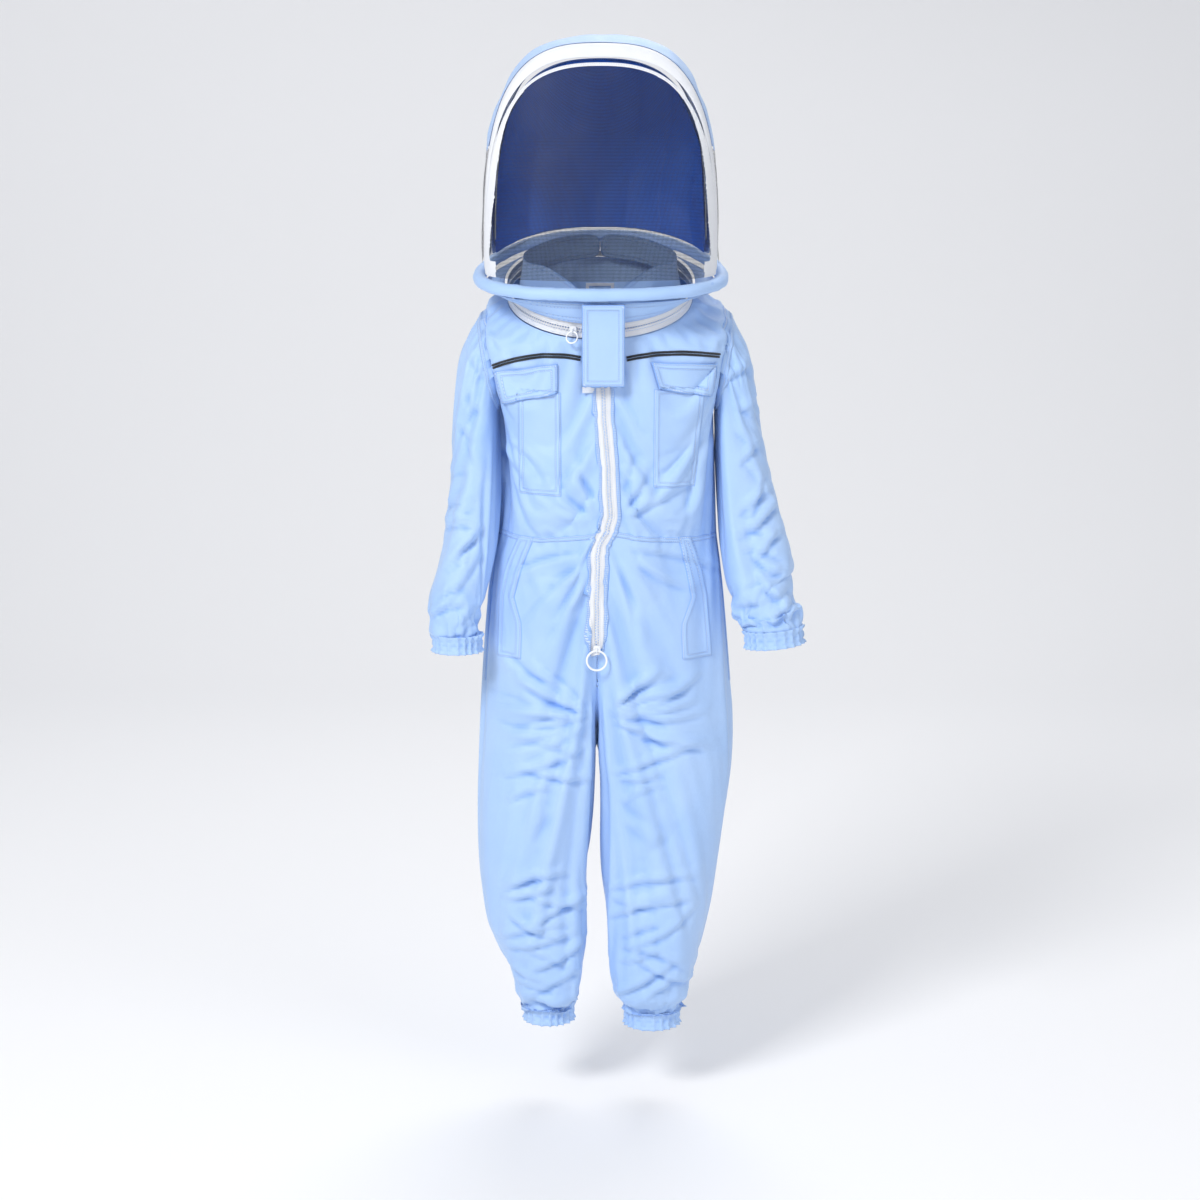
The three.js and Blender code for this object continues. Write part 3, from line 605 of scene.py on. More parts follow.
def hang(piece, hold, slack, frames, bending=0.6, cap=0.03, mass=0.35):
    """Lets cloth settle under its own weight: hold pins its points from 0 to 1."""
    group = piece.vertex_groups.new(name="hold")
    for level in sorted(set(np.round(hold[hold > 0], 2))):
        group.add([int(i) for i in np.flatnonzero(np.abs(hold - level) < 0.005)], float(level), "ADD")
    modifier = piece.modifiers.new("cloth", "CLOTH")
    cloth = modifier.settings
    cloth.quality = 5
    cloth.mass = mass
    cloth.tension_stiffness = cloth.compression_stiffness = 18
    cloth.shear_stiffness = 6
    cloth.bending_stiffness = bending
    cloth.tension_damping = cloth.compression_damping = cloth.shear_damping = 6
    cloth.air_damping = 2
    cloth.vertex_group_mass = "hold"
    cloth.pin_stiffness = 1.5
    cloth.shrink_min = -slack
    modifier.collision_settings.collision_quality = 2
    modifier.collision_settings.distance_min = 0.002
    modifier.collision_settings.use_self_collision = False
    modifier.point_cache.frame_start = 1
    modifier.point_cache.frame_end = frames
    start = coordinates(piece)
    scene.frame_start, scene.frame_end = 1, frames
    for step in range(1, frames + 1):
        scene.frame_set(step)
    settled = piece.evaluated_get(bpy.context.evaluated_depsgraph_get())
    flat = np.zeros(len(start) * 3, np.float32)
    settled.data.vertices.foreach_get("co", flat)
    piece.modifiers.clear()
    scene.frame_set(1)
    move = flat.reshape(-1, 3).astype(float) - start
    size = np.linalg.norm(move, axis=1, keepdims=True)
    move *= np.minimum(1, cap / np.maximum(size, 1e-9))
    set_coordinates(piece, start + move)


def tree_of_piece(piece):
    return BVHTree.FromPolygons(
        [v.co.copy() for v in piece.data.vertices], [list(p.vertices) for p in piece.data.polygons]
    )


def gathers(piece, level, count, reach, depth, middle, above_only=False, seed=3):
    """Pleats round a limb that die away from a gathering line."""
    points = coordinates(piece)
    out = normals(piece)
    away = points[:, 2] - level
    near = np.exp(-((away / reach) ** 2))
    if above_only:
        near *= np.clip((away - 0.002) / 0.016, 0, 1)
    turn = np.arctan2(points[:, 1] - middle[1], points[:, 0] - middle[0])
    wobble = 0.5 * np.sin(3 * turn + seed) + 0.35 * np.sin(7 * turn + 2 * seed)
    pleat = np.cos(count * turn + 2.2 * wobble + 30 * away)
    radius = np.hypot(points[:, 0] - middle[0], points[:, 1] - middle[1])
    near *= radius < middle[2]
    set_coordinates(piece, points + out * (pleat * near * depth)[:, None])


bodice_tree = tree_of("front_bodice_left", "front_bodice_right", "back_bodice")
points = coordinates(coverall)
bare = np.array([bodice_tree.find_nearest(Vector(p))[3] for p in points])
in_armhole = (bare > 0.006) & (np.abs(points[:, 0]) > 0.11) & (points[:, 2] > -0.27)
edges = neighbours(coverall)
armhole_rim = np.zeros(len(points), bool)
for a, b in ((0, 1), (1, 0)):
    armhole_rim[edges[in_armhole[edges[:, a]], b]] = True
neck_row, ankle_rows = top[:, 0], np.concatenate(bottoms)
zip_column = np.concatenate([top[0, :], hips[0, :20]])
eased(coverall, 4, list(neck_row) + list(ankle_rows) + list(np.flatnonzero(armhole_rim)))
hold = np.zeros(len(points))
hold[top[:, -1]] = 0.3
for k in (-1, 1):
    hold[np.concatenate([top[k, :], hips[k, :20]])] = 0.9
hold[zip_column] = 1
hold[neck_row] = 1
hold[top[:, 1]] = 0.8
hold[ankle_rows] = 1
hold[armhole_rim | in_armhole] = 1
gathers(coverall, WAIST, 46, 0.022, 0.0022, (0.01, 0, 0.3))
for side in ("left", "right"):
    low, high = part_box(f"ankle_cuff_{side}")
    centre = (low + high) / 2
    gathers(coverall, high.z, 15, 0.05, 0.0055, (centre.x, centre.y, 0.12), True)
for polygon, panel in zip(coverall.data.polygons, panels):
    polygon.material_index = panel
form = wearer(coverall, 0.012)
hang(coverall, hold, 0.075, 30, bending=0.2)
bpy.data.objects.remove(form)


def fan(x, z, start, stop, near, far, count, depth, width, seed):
    """Folds that spread from one strained point, between two directions in degrees."""
    chance = random.Random(seed)
    made = []
    for i in range(count):
        turn = math.radians(start + (stop - start) * (i + 0.3 + 0.4 * chance.random()) / count)
        a, b = near * (0.7 + 0.9 * chance.random()), far * (0.55 + 0.5 * chance.random())
        made.append((x + a * math.cos(turn), z + a * math.sin(turn), x + b * math.cos(turn),
                     z + b * math.sin(turn), depth * (0.6 + 0.6 * chance.random()), width))
    return made


def rungs(top, bottom, half, count, slant, depth, width, seed):
    """Folds across a limb between two points, crowded and slanting either way."""
    chance = random.Random(seed)
    made = []
    for i in range(count):
        share = (i + 0.2 + 0.6 * chance.random()) / count
        x, z = (top[0] + (bottom[0] - top[0]) * share, top[1] + (bottom[1] - top[1]) * share)
        turn = math.radians(slant * (0.35 + chance.random()) * (1 if chance.random() > 0.45 else -1))
        x += half * 0.7 * (chance.random() - 0.5)
        reach = half * (0.45 + 0.5 * chance.random())
        a, b = reach * math.cos(turn), reach * math.sin(turn)
        made.append((x - a, z - b, x + a, z + b, depth * (0.6 + 0.7 * chance.random()), width))
    return made


def creased(piece, folds, keep=None):
    """Presses folds into hung cloth: each is a soft ridge beside a sharp valley."""
    points, out = coordinates(piece), normals(piece)
    move = np.zeros(len(points))
    for face in (-1, 1):
        facing = np.clip(out[:, 1] * face * 2.2, 0, 1)
        place = points[:, [0, 2]]
        for number, (x0, z0, x1, z1, depth, width) in enumerate(folds):
            if face > 0 and number % 3 == 0:
                continue
            a, b = np.array((x0, z0)), np.array((x1, z1))
            length = np.linalg.norm(b - a)
            line = (b - a) / length
            along = (place - a) @ line / length
            bow = length * 0.09 * math.sin(number * 2.4)
            across = (place - a) @ np.array((-line[1], line[0])) - bow * np.sin(np.pi * np.clip(along, 0, 1))
            fade = np.sin(np.pi * np.clip(along, 0, 1)) ** 0.7
            wide = width * (0.75 + 0.5 * np.clip(along, 0, 1))
            ridge = np.exp(-(((across - 0.9 * wide) / (1.3 * wide)) ** 2))
            valley = np.exp(-(((across + 0.5 * wide) / (0.75 * wide)) ** 2))
            move += facing * fade * depth * (ridge - 0.95 * valley)
    if keep is not None:
        move *= keep
    set_coordinates(piece, points + out * np.clip(move, -0.009, 0.009)[:, None])


def set_values(piece, name, values):
    piece.data.attributes.new(name, "FLOAT", "POINT").data.foreach_set(
        "value", np.asarray(values, np.float32)
    )


def hollows(piece, turns=14, depth=0.006):
    """Marks how deep in a fold each point lies, for the painted shade in the cloth's folds."""
    points, out = coordinates(piece), normals(piece)
    eased(piece, turns, [])
    deep = ((coordinates(piece) - points) * out).sum(1) / depth
    set_coordinates(piece, points)
    set_values(piece, "hollow", np.clip(deep, -1, 1))


# COTTON_SHADE is the twill's colour in shade, painted into folds, stitch dents and seam rims.
COTTON_LIGHT, COTTON, COTTON_SHADE = colour("bdd8fb"), colour("a3c6f5"), colour("5c93e4")


def cotton_finish(name, stitched=False, folds=True, tint=None):
    """Light blue twill: a fine diagonal rib, a soft sheen, and painted shade in its folds and, when stitched,
    in its stitch dents and along its rim.
    """
    cloth = Finish(name, Sheen_Weight=0.25, Sheen_Roughness=0.35)
    cloth.set("Specular IOR Level", 0.42)
    cloth.set("Sheen Tint", (0.85, 0.92, 1.0))
    where, x, y, z = cloth.place()
    base = cloth.mix(cloth.blotch(where, 9.0), tint or COTTON, tint or COTTON_LIGHT)
    if folds:
        # Painted shade: the deeper a point lies in a fold, the more it takes on the shade colour.
        deep = cloth.node("ShaderNodeAttribute", {"attribute_name": "hollow"})[2]
        base = cloth.mix(deep.ramp(0.05, 1.0) * 0.75, base, COTTON_SHADE)
    rib = ((x + z + y * 0.6) * (2 * math.pi / 0.0011)).sine()
    weave = rib * 0.5 + cloth.blotch(where, 900.0, 1.0)
    # The twill's own rib, a faint striped darkening of the weave.
    base = cloth.mix(rib.ramp(-1, 1) * 0.10, base, COTTON_SHADE)
    normal = cloth.bump(cloth.blotch(where, 38.0, 3.0), 0.0022, 0.55)
    if stitched:
        edge = cloth.node("ShaderNodeAttribute", {"attribute_name": "edge"})[2]
        along = cloth.node("ShaderNodeAttribute", {"attribute_name": "along"})[2]
        dash = (along % 0.0034) < 0.0024
        row = (abs(edge - 0.0022) < 0.0005).top(abs(edge - 0.0082) < 0.0005)
        thread = row * dash
        # Painted shade: the dents beside both rows of stitches and the rim where the piece meets the cloth
        # beneath are darkened towards the shade colour.
        dent = abs(edge - 0.0022).ramp(0.0018, 0.0).top(abs(edge - 0.0082).ramp(0.0018, 0.0))
        base = cloth.mix((dent * 0.6).top((edge < 0.0009) * 0.55), base, COTTON_SHADE)
        base = cloth.mix(thread, base, colour("cfe1fb"))
        normal = cloth.bump(thread - dent * 0.6, 0.0008, 0.9, normal)
    cloth.set("Base Color", base)
    cloth.set("Normal", cloth.bump(weave, 0.00018, 0.5, normal))
    cloth.set("Roughness", 0.42 + cloth.blotch(where, 60.0) * 0.14)
    return cloth.material


cotton = cotton_finish("cotton_twill")
cotton_stitched = cotton_finish("cotton_stitched", stitched=True, folds=False)
applied(coverall, "SUBSURF", levels=1, render_levels=1)
body_folds = fan(0.0, -0.668, 136, 205, 0.02, 0.19, 9, 0.005, 0.0065, 4)
body_folds += fan(0.0, -0.668, -28, 42, 0.02, 0.19, 9, 0.005, 0.0065, 9)
body_folds += fan(0.015, -0.40, 195, 262, 0.03, 0.19, 6, 0.0044, 0.0065, 5)
body_folds += fan(0.015, -0.40, -80, -14, 0.03, 0.19, 6, 0.0044, 0.0065, 7)
body_folds += fan(0.01, -0.385, 25, 75, 0.03, 0.15, 5, 0.0044, 0.0065, 11)
body_folds += fan(0.01, -0.385, 105, 160, 0.03, 0.15, 5, 0.0044, 0.0065, 12)
for sign in (-1, 1):
    start, stop = 270 - sign * 50, 270 - sign * 5
    body_folds += fan(sign * 0.17, -0.22, start, stop, 0.03, 0.16, 5, 0.0044, 0.007, 20 + sign)
    leg = sign * 0.085
    body_folds += rungs((leg, -0.71), (leg, -0.80), 0.08, 4, 22, 0.0036, 0.0065, 31 + sign)
    body_folds += rungs((leg, -0.80), (leg, -0.93), 0.07, 4, 80, 0.002, 0.011, 41 + sign)
    body_folds += rungs((leg, -0.93), (leg * 0.98, -1.14), 0.085, 13, 24, 0.0042, 0.0065, 51 + sign)
clear_of_zip = coordinates(coverall)
aside = np.abs(clear_of_zip[:, 0] - np.interp(clear_of_zip[:, 2], zip_heights, zip_line))
aside = np.where((clear_of_zip[:, 1] > 0) | (clear_of_zip[:, 2] < -0.59), 1.0, aside)
creased(coverall, body_folds, np.clip((aside - 0.016) / 0.02, 0.15, 1))
hollows(coverall)
cover_points = coordinates(coverall)
coverall_tree = tree_of_piece(coverall)
spare = np.append(in_armhole, np.zeros(len(cover_points) - len(points), bool))
PANELS = (
    "front_bodice_left",
    "front_bodice_right",
    "back_bodice",
    "trouser_front_left",
    "trouser_back_left",
    "trouser_back_right",
    "trouser_front_right",
)


def cut_panels(whole):
    """Parts the cloth at its seams into the panels that it is sewn from."""
    made = []
    for index, name in enumerate(PANELS):
        mesh = bmesh.new()
        mesh.from_mesh(whole.data)
        gone = []
        for face in mesh.faces:
            if face.material_index != index or any(spare[v.index] for v in face.verts):
                gone.append(face)
        bmesh.ops.delete(mesh, geom=gone, context="FACES")
        for face in mesh.faces:
            face.material_index = 0
        panel = from_bmesh(name + "_cloth", mesh)
        panel.data.materials.clear()
        panel.data.materials.append(cotton)
        made.append(panel)
    bpy.data.objects.remove(whole)
    return made


def declare_cloth(cut):
    """Works out the area of a piece's cut from its width, length and how much of that rectangle it fills; the
    figure is not kept.
    """
    width, length, filled = cut
    area = width * length * min(filled, 0.9999)


# Cut for a chest of about 1.04 m, 0.42 m from shoulder to waist and 0.81 m from waist to
# ankle; the last figure of each allows for the armhole, neck, crotch and taper cut away.
BODICE_FRONT_CUT, BODICE_BACK_CUT = (0.26, 0.42, 0.72), (0.52, 0.45, 0.82)
TROUSER_FRONT_CUT, TROUSER_BACK_CUT = (0.29, 0.81, 0.72), (0.33, 0.83, 0.72)
PANEL_CUTS = {
    "front_bodice": BODICE_FRONT_CUT,
    "back_bodice": BODICE_BACK_CUT,
    "trouser_front": TROUSER_FRONT_CUT,
    "trouser_back": TROUSER_BACK_CUT,
}
for panel, name in zip(cut_panels(coverall), PANELS):
    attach(panel, "coverall")
    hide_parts(name)
    declare_cloth(next(PANEL_CUTS[kind] for kind in PANEL_CUTS if name.startswith(kind)))


# ---------------------------------------------------------------- seams
# Flat-felled seams: both edges folded into each other and held by two rows of
# stitches, so each seam stands a little proud as a narrow band.
SEAM_WIDTH, SEAM_HEIGHT = 0.0095, 0.0011


def ribbon(name, tree, path, width, height, step=0.004, across=6, closed=False, aside=0.0, sink=0.0004):
    """A narrow raised band that lies on a surface along a path."""
    path = [Vector(p) for p in path]
    if closed:
        path.append(path[0])
    count = max(4, int(sum((b - a).length for a, b in zip(path, path[1:])) / step))
    line = [Vector(p) for p in spaced(path, count)]
    if closed:
        line = line[:-1]
    total = len(line)
    points, edge, along = [], [], []
    run = 0.0
    for i, p in enumerate(line):
        before = line[i - 1] if i or closed else p
        after = line[(i + 1) % total] if i + 1 < total or closed else p
        run += (p - before).length if i else 0
        tangent = (after - before).normalized()
        hit, normal = tree.find_nearest(p)[:2]
        side = tangent.cross(normal).normalized()
        for j in range(across + 1):
            share = j / across
            q = hit + side * (width * (share - 0.5) + aside)
            hit_q, normal_q = tree.find_nearest(q)[:2]
            rise = height * (0.8 if j in (1, across - 1) else 1)
            points.append(hit_q + normal_q * (-sink if j in (0, across) else rise))
            edge.append(min(share, 1 - share) * width)
            along.append(run)
    row = across + 1
    faces = []
    for i in range(total if closed else total - 1):
        n = (i + 1) % total
        for j in range(across):
            faces.append((i * row + j, n * row + j, n * row + j + 1, i * row + j + 1))
    made = mesh_from(name, points, faces)
    set_values(made, "edge", edge)
    set_values(made, "along", along)
    return made


def row_path(numbers):
    return [cover_points[i] for i in numbers]


def felled_seam(name, path, closed=False, body="coverall", tree=None):
    seam = ribbon(name, tree or coverall_tree, path, SEAM_WIDTH, SEAM_HEIGHT, closed=closed)
    seam.data.materials.append(cotton_stitched)
    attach(seam, body)
    return seam


felled_seam("waist_seam", row_path(top[:, -1]), closed=True)
for side, column in (("left", ROUND // 4), ("right", 3 * ROUND // 4)):
    felled_seam(f"side_seam_{side}", row_path([i for i in top[column, :] if points[i][2] < -0.22]))
    felled_seam(f"hip_side_seam_{side}", row_path(hips[column, :]))
felled_seam("seat_seam", row_path(hips[HALF, :]))
felled_seam("fly_seam", row_path(hips[0, 21:]))

# ---------------------------------------------------------------- sleeves
# Set-in sleeves of the same twill, wider than the arm, that blouse over the
# gathered wrist; each is felled to its armhole and swings from there.
SLEEVE_BLEND = 0.21


def swing_from_shoulder(piece, side, sign):
    """The cloth below the shoulder point follows the arm more and more."""
    start = Vector((sign * 0.17, 0, -0.05))
    end = start + Vector((sign * 0.04, 0, -SLEEVE_BLEND))
    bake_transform(piece, "coverall", f"sleeve_{side}", start=start, end=end)


for side, sign in (("left", 1), ("right", -1)):
    sleeve = from_bmesh(f"sleeve_{side}_cloth", skin(f"sleeve_{side}"))
    applied(sleeve, "SUBSURF", levels=2, render_levels=2)
    open_edges = bmesh.new()
    open_edges.from_mesh(sleeve.data)
    rim = np.array([v.is_boundary for v in open_edges.verts])
    open_edges.free()
    place = coordinates(sleeve)
    low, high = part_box(f"wrist_cuff_{side}")
    centre = (low + high) / 2
    gathers(sleeve, high.z, 13, 0.05, 0.005, (centre.x, centre.y, 0.1), True, 5 + sign)
    form = wearer(sleeve, 0.012)
    hang(sleeve, rim.astype(float), 0.085, 30, bending=0.2, cap=0.026)
    bpy.data.objects.remove(form)
    applied(sleeve, "SUBSURF", levels=1, render_levels=1)
    shoulder, wrist = ((0.215, -0.13), (0.262, -0.53)) if sign > 0 else ((-0.195, -0.13), (-0.215, -0.54))
    elbow = (shoulder[0] * 0.45 + wrist[0] * 0.55, -0.34)
    arm_folds = rungs(shoulder, elbow, 0.045, 8, 55, 0.0034, 0.0065, 61 + sign)
    arm_folds += rungs(elbow, wrist, 0.05, 14, 36, 0.0044, 0.006, 71 + sign)
    creased(sleeve, arm_folds, np.clip((coordinates(sleeve)[:, 2] - low.z - 0.03) / 0.03, 0.1, 1))
    hollows(sleeve)
    sleeve.data.materials.clear()
    sleeve.data.materials.append(cotton)
    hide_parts(f"sleeve_{side}")
    declare_cloth((0.36, 0.52, 0.8))
    swing_from_shoulder(sleeve, side, sign)


# ---------------------------------------------------------------- armhole seams
# The sleeve head is felled to the bodice all round the armhole, which leaves
# a raised band over the shoulder.
def armhole_seam(side, sign):
    head = skin(f"sleeve_{side}")
    rim = [v.co.copy() for v in head.verts if v.is_boundary and v.co.z > -0.3]
    head.free()
    middle = sum(rim, Vector()) / len(rim)
    rim.sort(key=lambda p: math.atan2(p.y - middle.y, p.z - middle.z))
    rim = [Vector(p) for p in spaced(rim + rim[:1], 220)][:-1]
    sleeve_tree = tree_of_piece(bpy.data.objects[f"sleeve_{side}_cloth"])
    outward = Vector((sign, 0, -0.35)).normalized()
    columns = (
        (-0.009, -0.0006), (-0.0082, 0.0009), (-0.004, 0.0012),
        (0.004, 0.0014), (0.0085, 0.0009), (0.0092, -0.0006),
    )
    rows = []
    for p in rim:
        row = []
        for aside, height in columns:
            tree = coverall_tree if aside < 0 else sleeve_tree
            hit, normal = tree.find_nearest(p)[:2]
            step = (outward - normal * outward.dot(normal)).normalized() * aside
            hit, normal = tree.find_nearest(hit + step)[:2]
            if normal.dot(hit - middle - outward * 0.03) < 0:
                normal = -normal
            row.append(hit + normal * height)
        rows.append(row)
    grid = np.array([[tuple(q) for q in row] for row in rows])
    for _ in range(4):
        grid = (np.roll(grid, 1, 0) + grid * 2 + np.roll(grid, -1, 0)) / 4
    wide, count = len(columns), len(rim)
    faces = []
    for r in range(count):
        n = (r + 1) % count
        for c in range(wide - 1):
            faces.append((r * wide + c, r * wide + c + 1, n * wide + c + 1, n * wide + c))
    seam = mesh_from(f"armhole_seam_{side}", [Vector(q) for q in grid.reshape(-1, 3)], faces)
    mesh = bmesh.new()
    mesh.from_mesh(seam.data)
    bmesh.ops.recalc_face_normals(mesh, faces=mesh.faces)
    mesh.to_mesh(seam.data)
    mesh.free()
    set_values(seam, "edge", [0.0, 0.0008, 0.0022, 0.0082, 0.002, 0.0] * count)
    set_values(seam, "along", np.repeat(np.arange(count) * 0.0026, wide))
    seam.data.materials.append(cotton_stitched)
    swing_from_shoulder(seam, side, sign)


armhole_seam("left", 1)
armhole_seam("right", -1)


# ---------------------------------------------------------------- gathered cuffs
# Each wrist and ankle ends in a short casing of the same cloth, drawn into
# pleats by the elastic that runs inside it between two rows of stitches.
def ring_frame(ring):
    """The middle of a ring of points and its two half axes."""
    ring = np.array([tuple(p) for p in ring])
    middle = (ring.max(0) + ring.min(0)) / 2
    through = Vector(np.linalg.svd(ring - ring.mean(0), full_matrices=False)[2][2])
    if through.z < 0:
        through = -through
    a = (Vector((1, 0, 0)) - through * through.x).normalized()
    b = through.cross(a)
    return Vector(middle), a * np.abs((ring - middle) @ a).max(), b * np.abs((ring - middle) @ b).max()


def cuff(kind, side, body, pleats, seed):
    name = f"{kind}_cuff_{side}"
    outer = skin(name)
    level = sum((v.co.z for v in outer.verts)) / len(outer.verts)
    rings = [ring_frame([v.co for v in outer.verts if v.is_boundary and (v.co.z > level) == top])
             for top in (True, False)]
    outer.free()
    around, rows = pleats * 10, 16
    points, faces = [], []
    for r in range(rows + 1):
        share = r / rows
        drawn = max(math.exp(-(((share - 0.27) / 0.1) ** 2)), math.exp(-(((share - 0.75) / 0.1) ** 2)))
        flare = 0.0025 * abs(share - 0.5) * 2
        for k in range(around):
            turn = 2 * math.pi * k / around
            rolled = pleats * turn + 0.9 * math.sin(3 * turn + seed) + 0.6 * math.sin(5 * turn)
            fold = 1 - abs(math.sin(rolled / 2)) ** 0.7 * 2
            depth = 0.0026 * (1 - 0.7 * drawn) * (1 + 0.35 * math.sin(2 * turn + seed))
            c, a, b = [rings[0][i].lerp(rings[1][i], share * 1.08 - 0.08) for i in range(3)]
            out = a.normalized() * math.cos(turn) + b.normalized() * math.sin(turn)
            p = c + a * math.cos(turn) + b * math.sin(turn)
            points.append(p + out * (fold * depth + flare - 0.0012 * drawn + 0.0005))
    for r in range(rows):
        for k in range(around):
            n = (k + 1) % around
            faces.append((r * around + k, (r + 1) * around + k, (r + 1) * around + n, r * around + n))
    made = mesh_from(name + "_cloth", points, faces)
    applied(made, "SOLIDIFY", thickness=0.0012, offset=-1)
    hollows(made, 6, 0.0012)
    made.data.materials.append(cuff_cotton)
    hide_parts(name)
    declare_cloth((0.027, 0.36, 1.0))
    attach(made, body)


cuff_cotton = cotton_finish("cotton_gathered")
for side, seed in (("left", 1.0), ("right", 2.6)):
    cuff("wrist", side, f"sleeve_{side}", 20, seed)
    cuff("ankle", side, "coverall", 20, seed + 1)


# ---------------------------------------------------------------- pockets and flaps
# Chest pockets with hanging flaps, and slanted hip pockets: single pieces of
# twill with folded edges, sewn on with two rows of stitches.
def corners(node):
    """The four corners of a patch seen from the front: top left first, clockwise."""
    data = np.array([v.co for v in frame["nodes"][node].data.vertices])
    x = (data[:, 0] - data[:, 0].mean()) / np.ptp(data[:, 0])
    z = (data[:, 2] - data[:, 2].mean()) / np.ptp(data[:, 2])
    return [data[np.argmax(a * x + b * z)][[0, 2]] for a, b in ((-1, 1), (1, 1), (1, -1), (-1, -1))]


def four_sided(node, rows, columns):
    """A grid of (x, z) places between a patch's four corners."""
    a, b, c, d = corners(node)
    t, s = np.meshgrid(np.linspace(0, 1, rows + 1), np.linspace(0, 1, columns + 1), indexing="ij")
    t, s = t[..., None], s[..., None]
    return (a * (1 - s) + b * s) * (1 - t) + (d * (1 - s) + c * s) * t


def sliced(node, rows, columns):
    """A grid of (x, z) places across a patch whose sides curve."""
    data = frame["nodes"][node].data
    ends = np.array([v.co for v in data.vertices])[np.array([e.vertices for e in data.edges])]
    low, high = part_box(node)
    grid = []
    for z in np.linspace(high.z - 0.001, low.z + 0.001, rows + 1):
        over = (ends[:, 0, 2] - z) * (ends[:, 1, 2] - z) < 0
        a, b = ends[over, 0], ends[over, 1]
        x = a[:, 0] + (b[:, 0] - a[:, 0]) * (z - a[:, 2]) / (b[:, 2] - a[:, 2])
        grid.append([(v, z) for v in np.linspace(x.min(), x.max(), columns + 1)])
    return np.array(grid)


def patch(name, tree, grid, lift, thick=0.0, puff=0.0, material=None, wave=0.0):
    """Cloth laid on a surface seen from the front; with a thickness it is a closed slab."""
    rows, columns = grid.shape[0] - 1, grid.shape[1] - 1
    forward = Vector((0, 1, 0))
    points, edge, along, backs = [], [], [], []
    for r in range(rows + 1):
        for c in range(columns + 1):
            x, z = grid[r, c]
            hit, normal = tree.ray_cast(Vector((x, -0.6, z)), forward, 1.2)[:2]
            if hit is None:
                hit, normal = tree.find_nearest(Vector((x, -0.12, z)))[:2]
            if normal.y > 0:
                normal = -normal
            wide = np.linalg.norm(grid[r, -1] - grid[r, 0])
            high = np.linalg.norm(grid[-1, c] - grid[0, c])
            border = min(c / columns * wide, (1 - c / columns) * wide, r / rows * high, (1 - r / rows) * high)
            hem = 0.0011 * math.exp(-(((border - 0.005) / 0.004) ** 2))
            rise = lift + hem + puff * min(1, border / 0.02) + wave * noise.noise((x * 22, z * 14, len(name)))
            rim = r in (0, rows) or c in (0, columns)
            low = lift if thick else -0.0004
            points.append(hit + normal * (low if rim else rise))
            backs.append(hit + normal * (low - thick * (0.5 if rim else 1)))
            edge.append(border)
            along.append(x + z)
    width = columns + 1
    faces = []
    for r in range(rows):
        for c in range(columns):
            i = r * width + c
            faces.append((i, i + width, i + width + 1, i + 1))
    if thick:
        count = len(points)
        faces += [tuple(count + i for i in reversed(f)) for f in faces]
        ring = list(range(columns)) + [r * width + columns for r in range(rows)]
        ring += [rows * width + c for c in range(columns, 0, -1)] + [r * width for r in range(rows, 0, -1)]
        for i, a in enumerate(ring):
            b = ring[(i + 1) % len(ring)]
            faces.append((a, b, count + b, count + a))
        points += backs
        edge, along = edge * 2, along * 2
    made = mesh_from(name, points, faces)
    set_values(made, "edge", edge)
    set_values(made, "along", along)
    made.data.materials.append(material or cotton_stitched)
    return made


def joined_tree(*pieces):
    points, faces = [], []
    for piece in pieces:
        first = len(points)
        if isinstance(piece, str):
            data = frame["nodes"][piece].data
        else:
            data = piece.data
        points += [v.co.copy() for v in data.vertices]
        faces += [[first + i for i in p.vertices] for p in data.polygons]
    return BVHTree.FromPolygons(points, faces)


cloth_pieces = [bpy.data.objects[name + "_cloth"] for name in PANELS]
POCKET_CUTS = {"left": (0.087, 0.152, 1.0), "right": (0.074, 0.157, 1.0)}
FLAP_CUTS = {"left": (0.053, 0.106, 0.85), "right": (0.062, 0.100, 0.75)}
HIP_POCKET_CUT = (0.065, 0.192, 0.8)
for side in ("left", "right"):
    node = f"chest_pocket_{side}"
    pocket = patch(node + "_cloth", coverall_tree, four_sided(node, 44, 26), 0.0016, wave=0.0012)
    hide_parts(node)
    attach(pocket, "coverall")
    declare_cloth(POCKET_CUTS[side])
    under = joined_tree(*cloth_pieces, pocket)
    node = f"pocket_flap_{side}"
    flap = patch(node + "_cloth", under, four_sided(node, 24, 36), 0.0035, thick=0.002, wave=0.0014)
    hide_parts(node)
    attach(flap, node)
    declare_cloth(FLAP_CUTS[side])
    node = f"hip_pocket_{side}"
    pocket = patch(node + "_cloth", coverall_tree, sliced(node, 56, 16), 0.0017, wave=0.0008)
    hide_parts(node)
    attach(pocket, "coverall")
    declare_cloth(HIP_POCKET_CUT)


# ---------------------------------------------------------------- piping
# Two thin black cords side by side across the chest, caught in the yoke seam.
def piping_finish():
    cord = Finish("black_piping", Roughness=0.5, Sheen_Weight=0.15)
    x, z = cord.place()[1::2]
    twist = ((x + z * 0.6) * (2 * math.pi / 0.0016)).sine()
    cord.set("Base Color", cord.mix(twist.ramp(-1, 1), colour("101218"), colour("23262f")))
    cord.set("Normal", cord.bump(twist, 0.0003, 0.8))
    return cord.material


black = piping_finish()


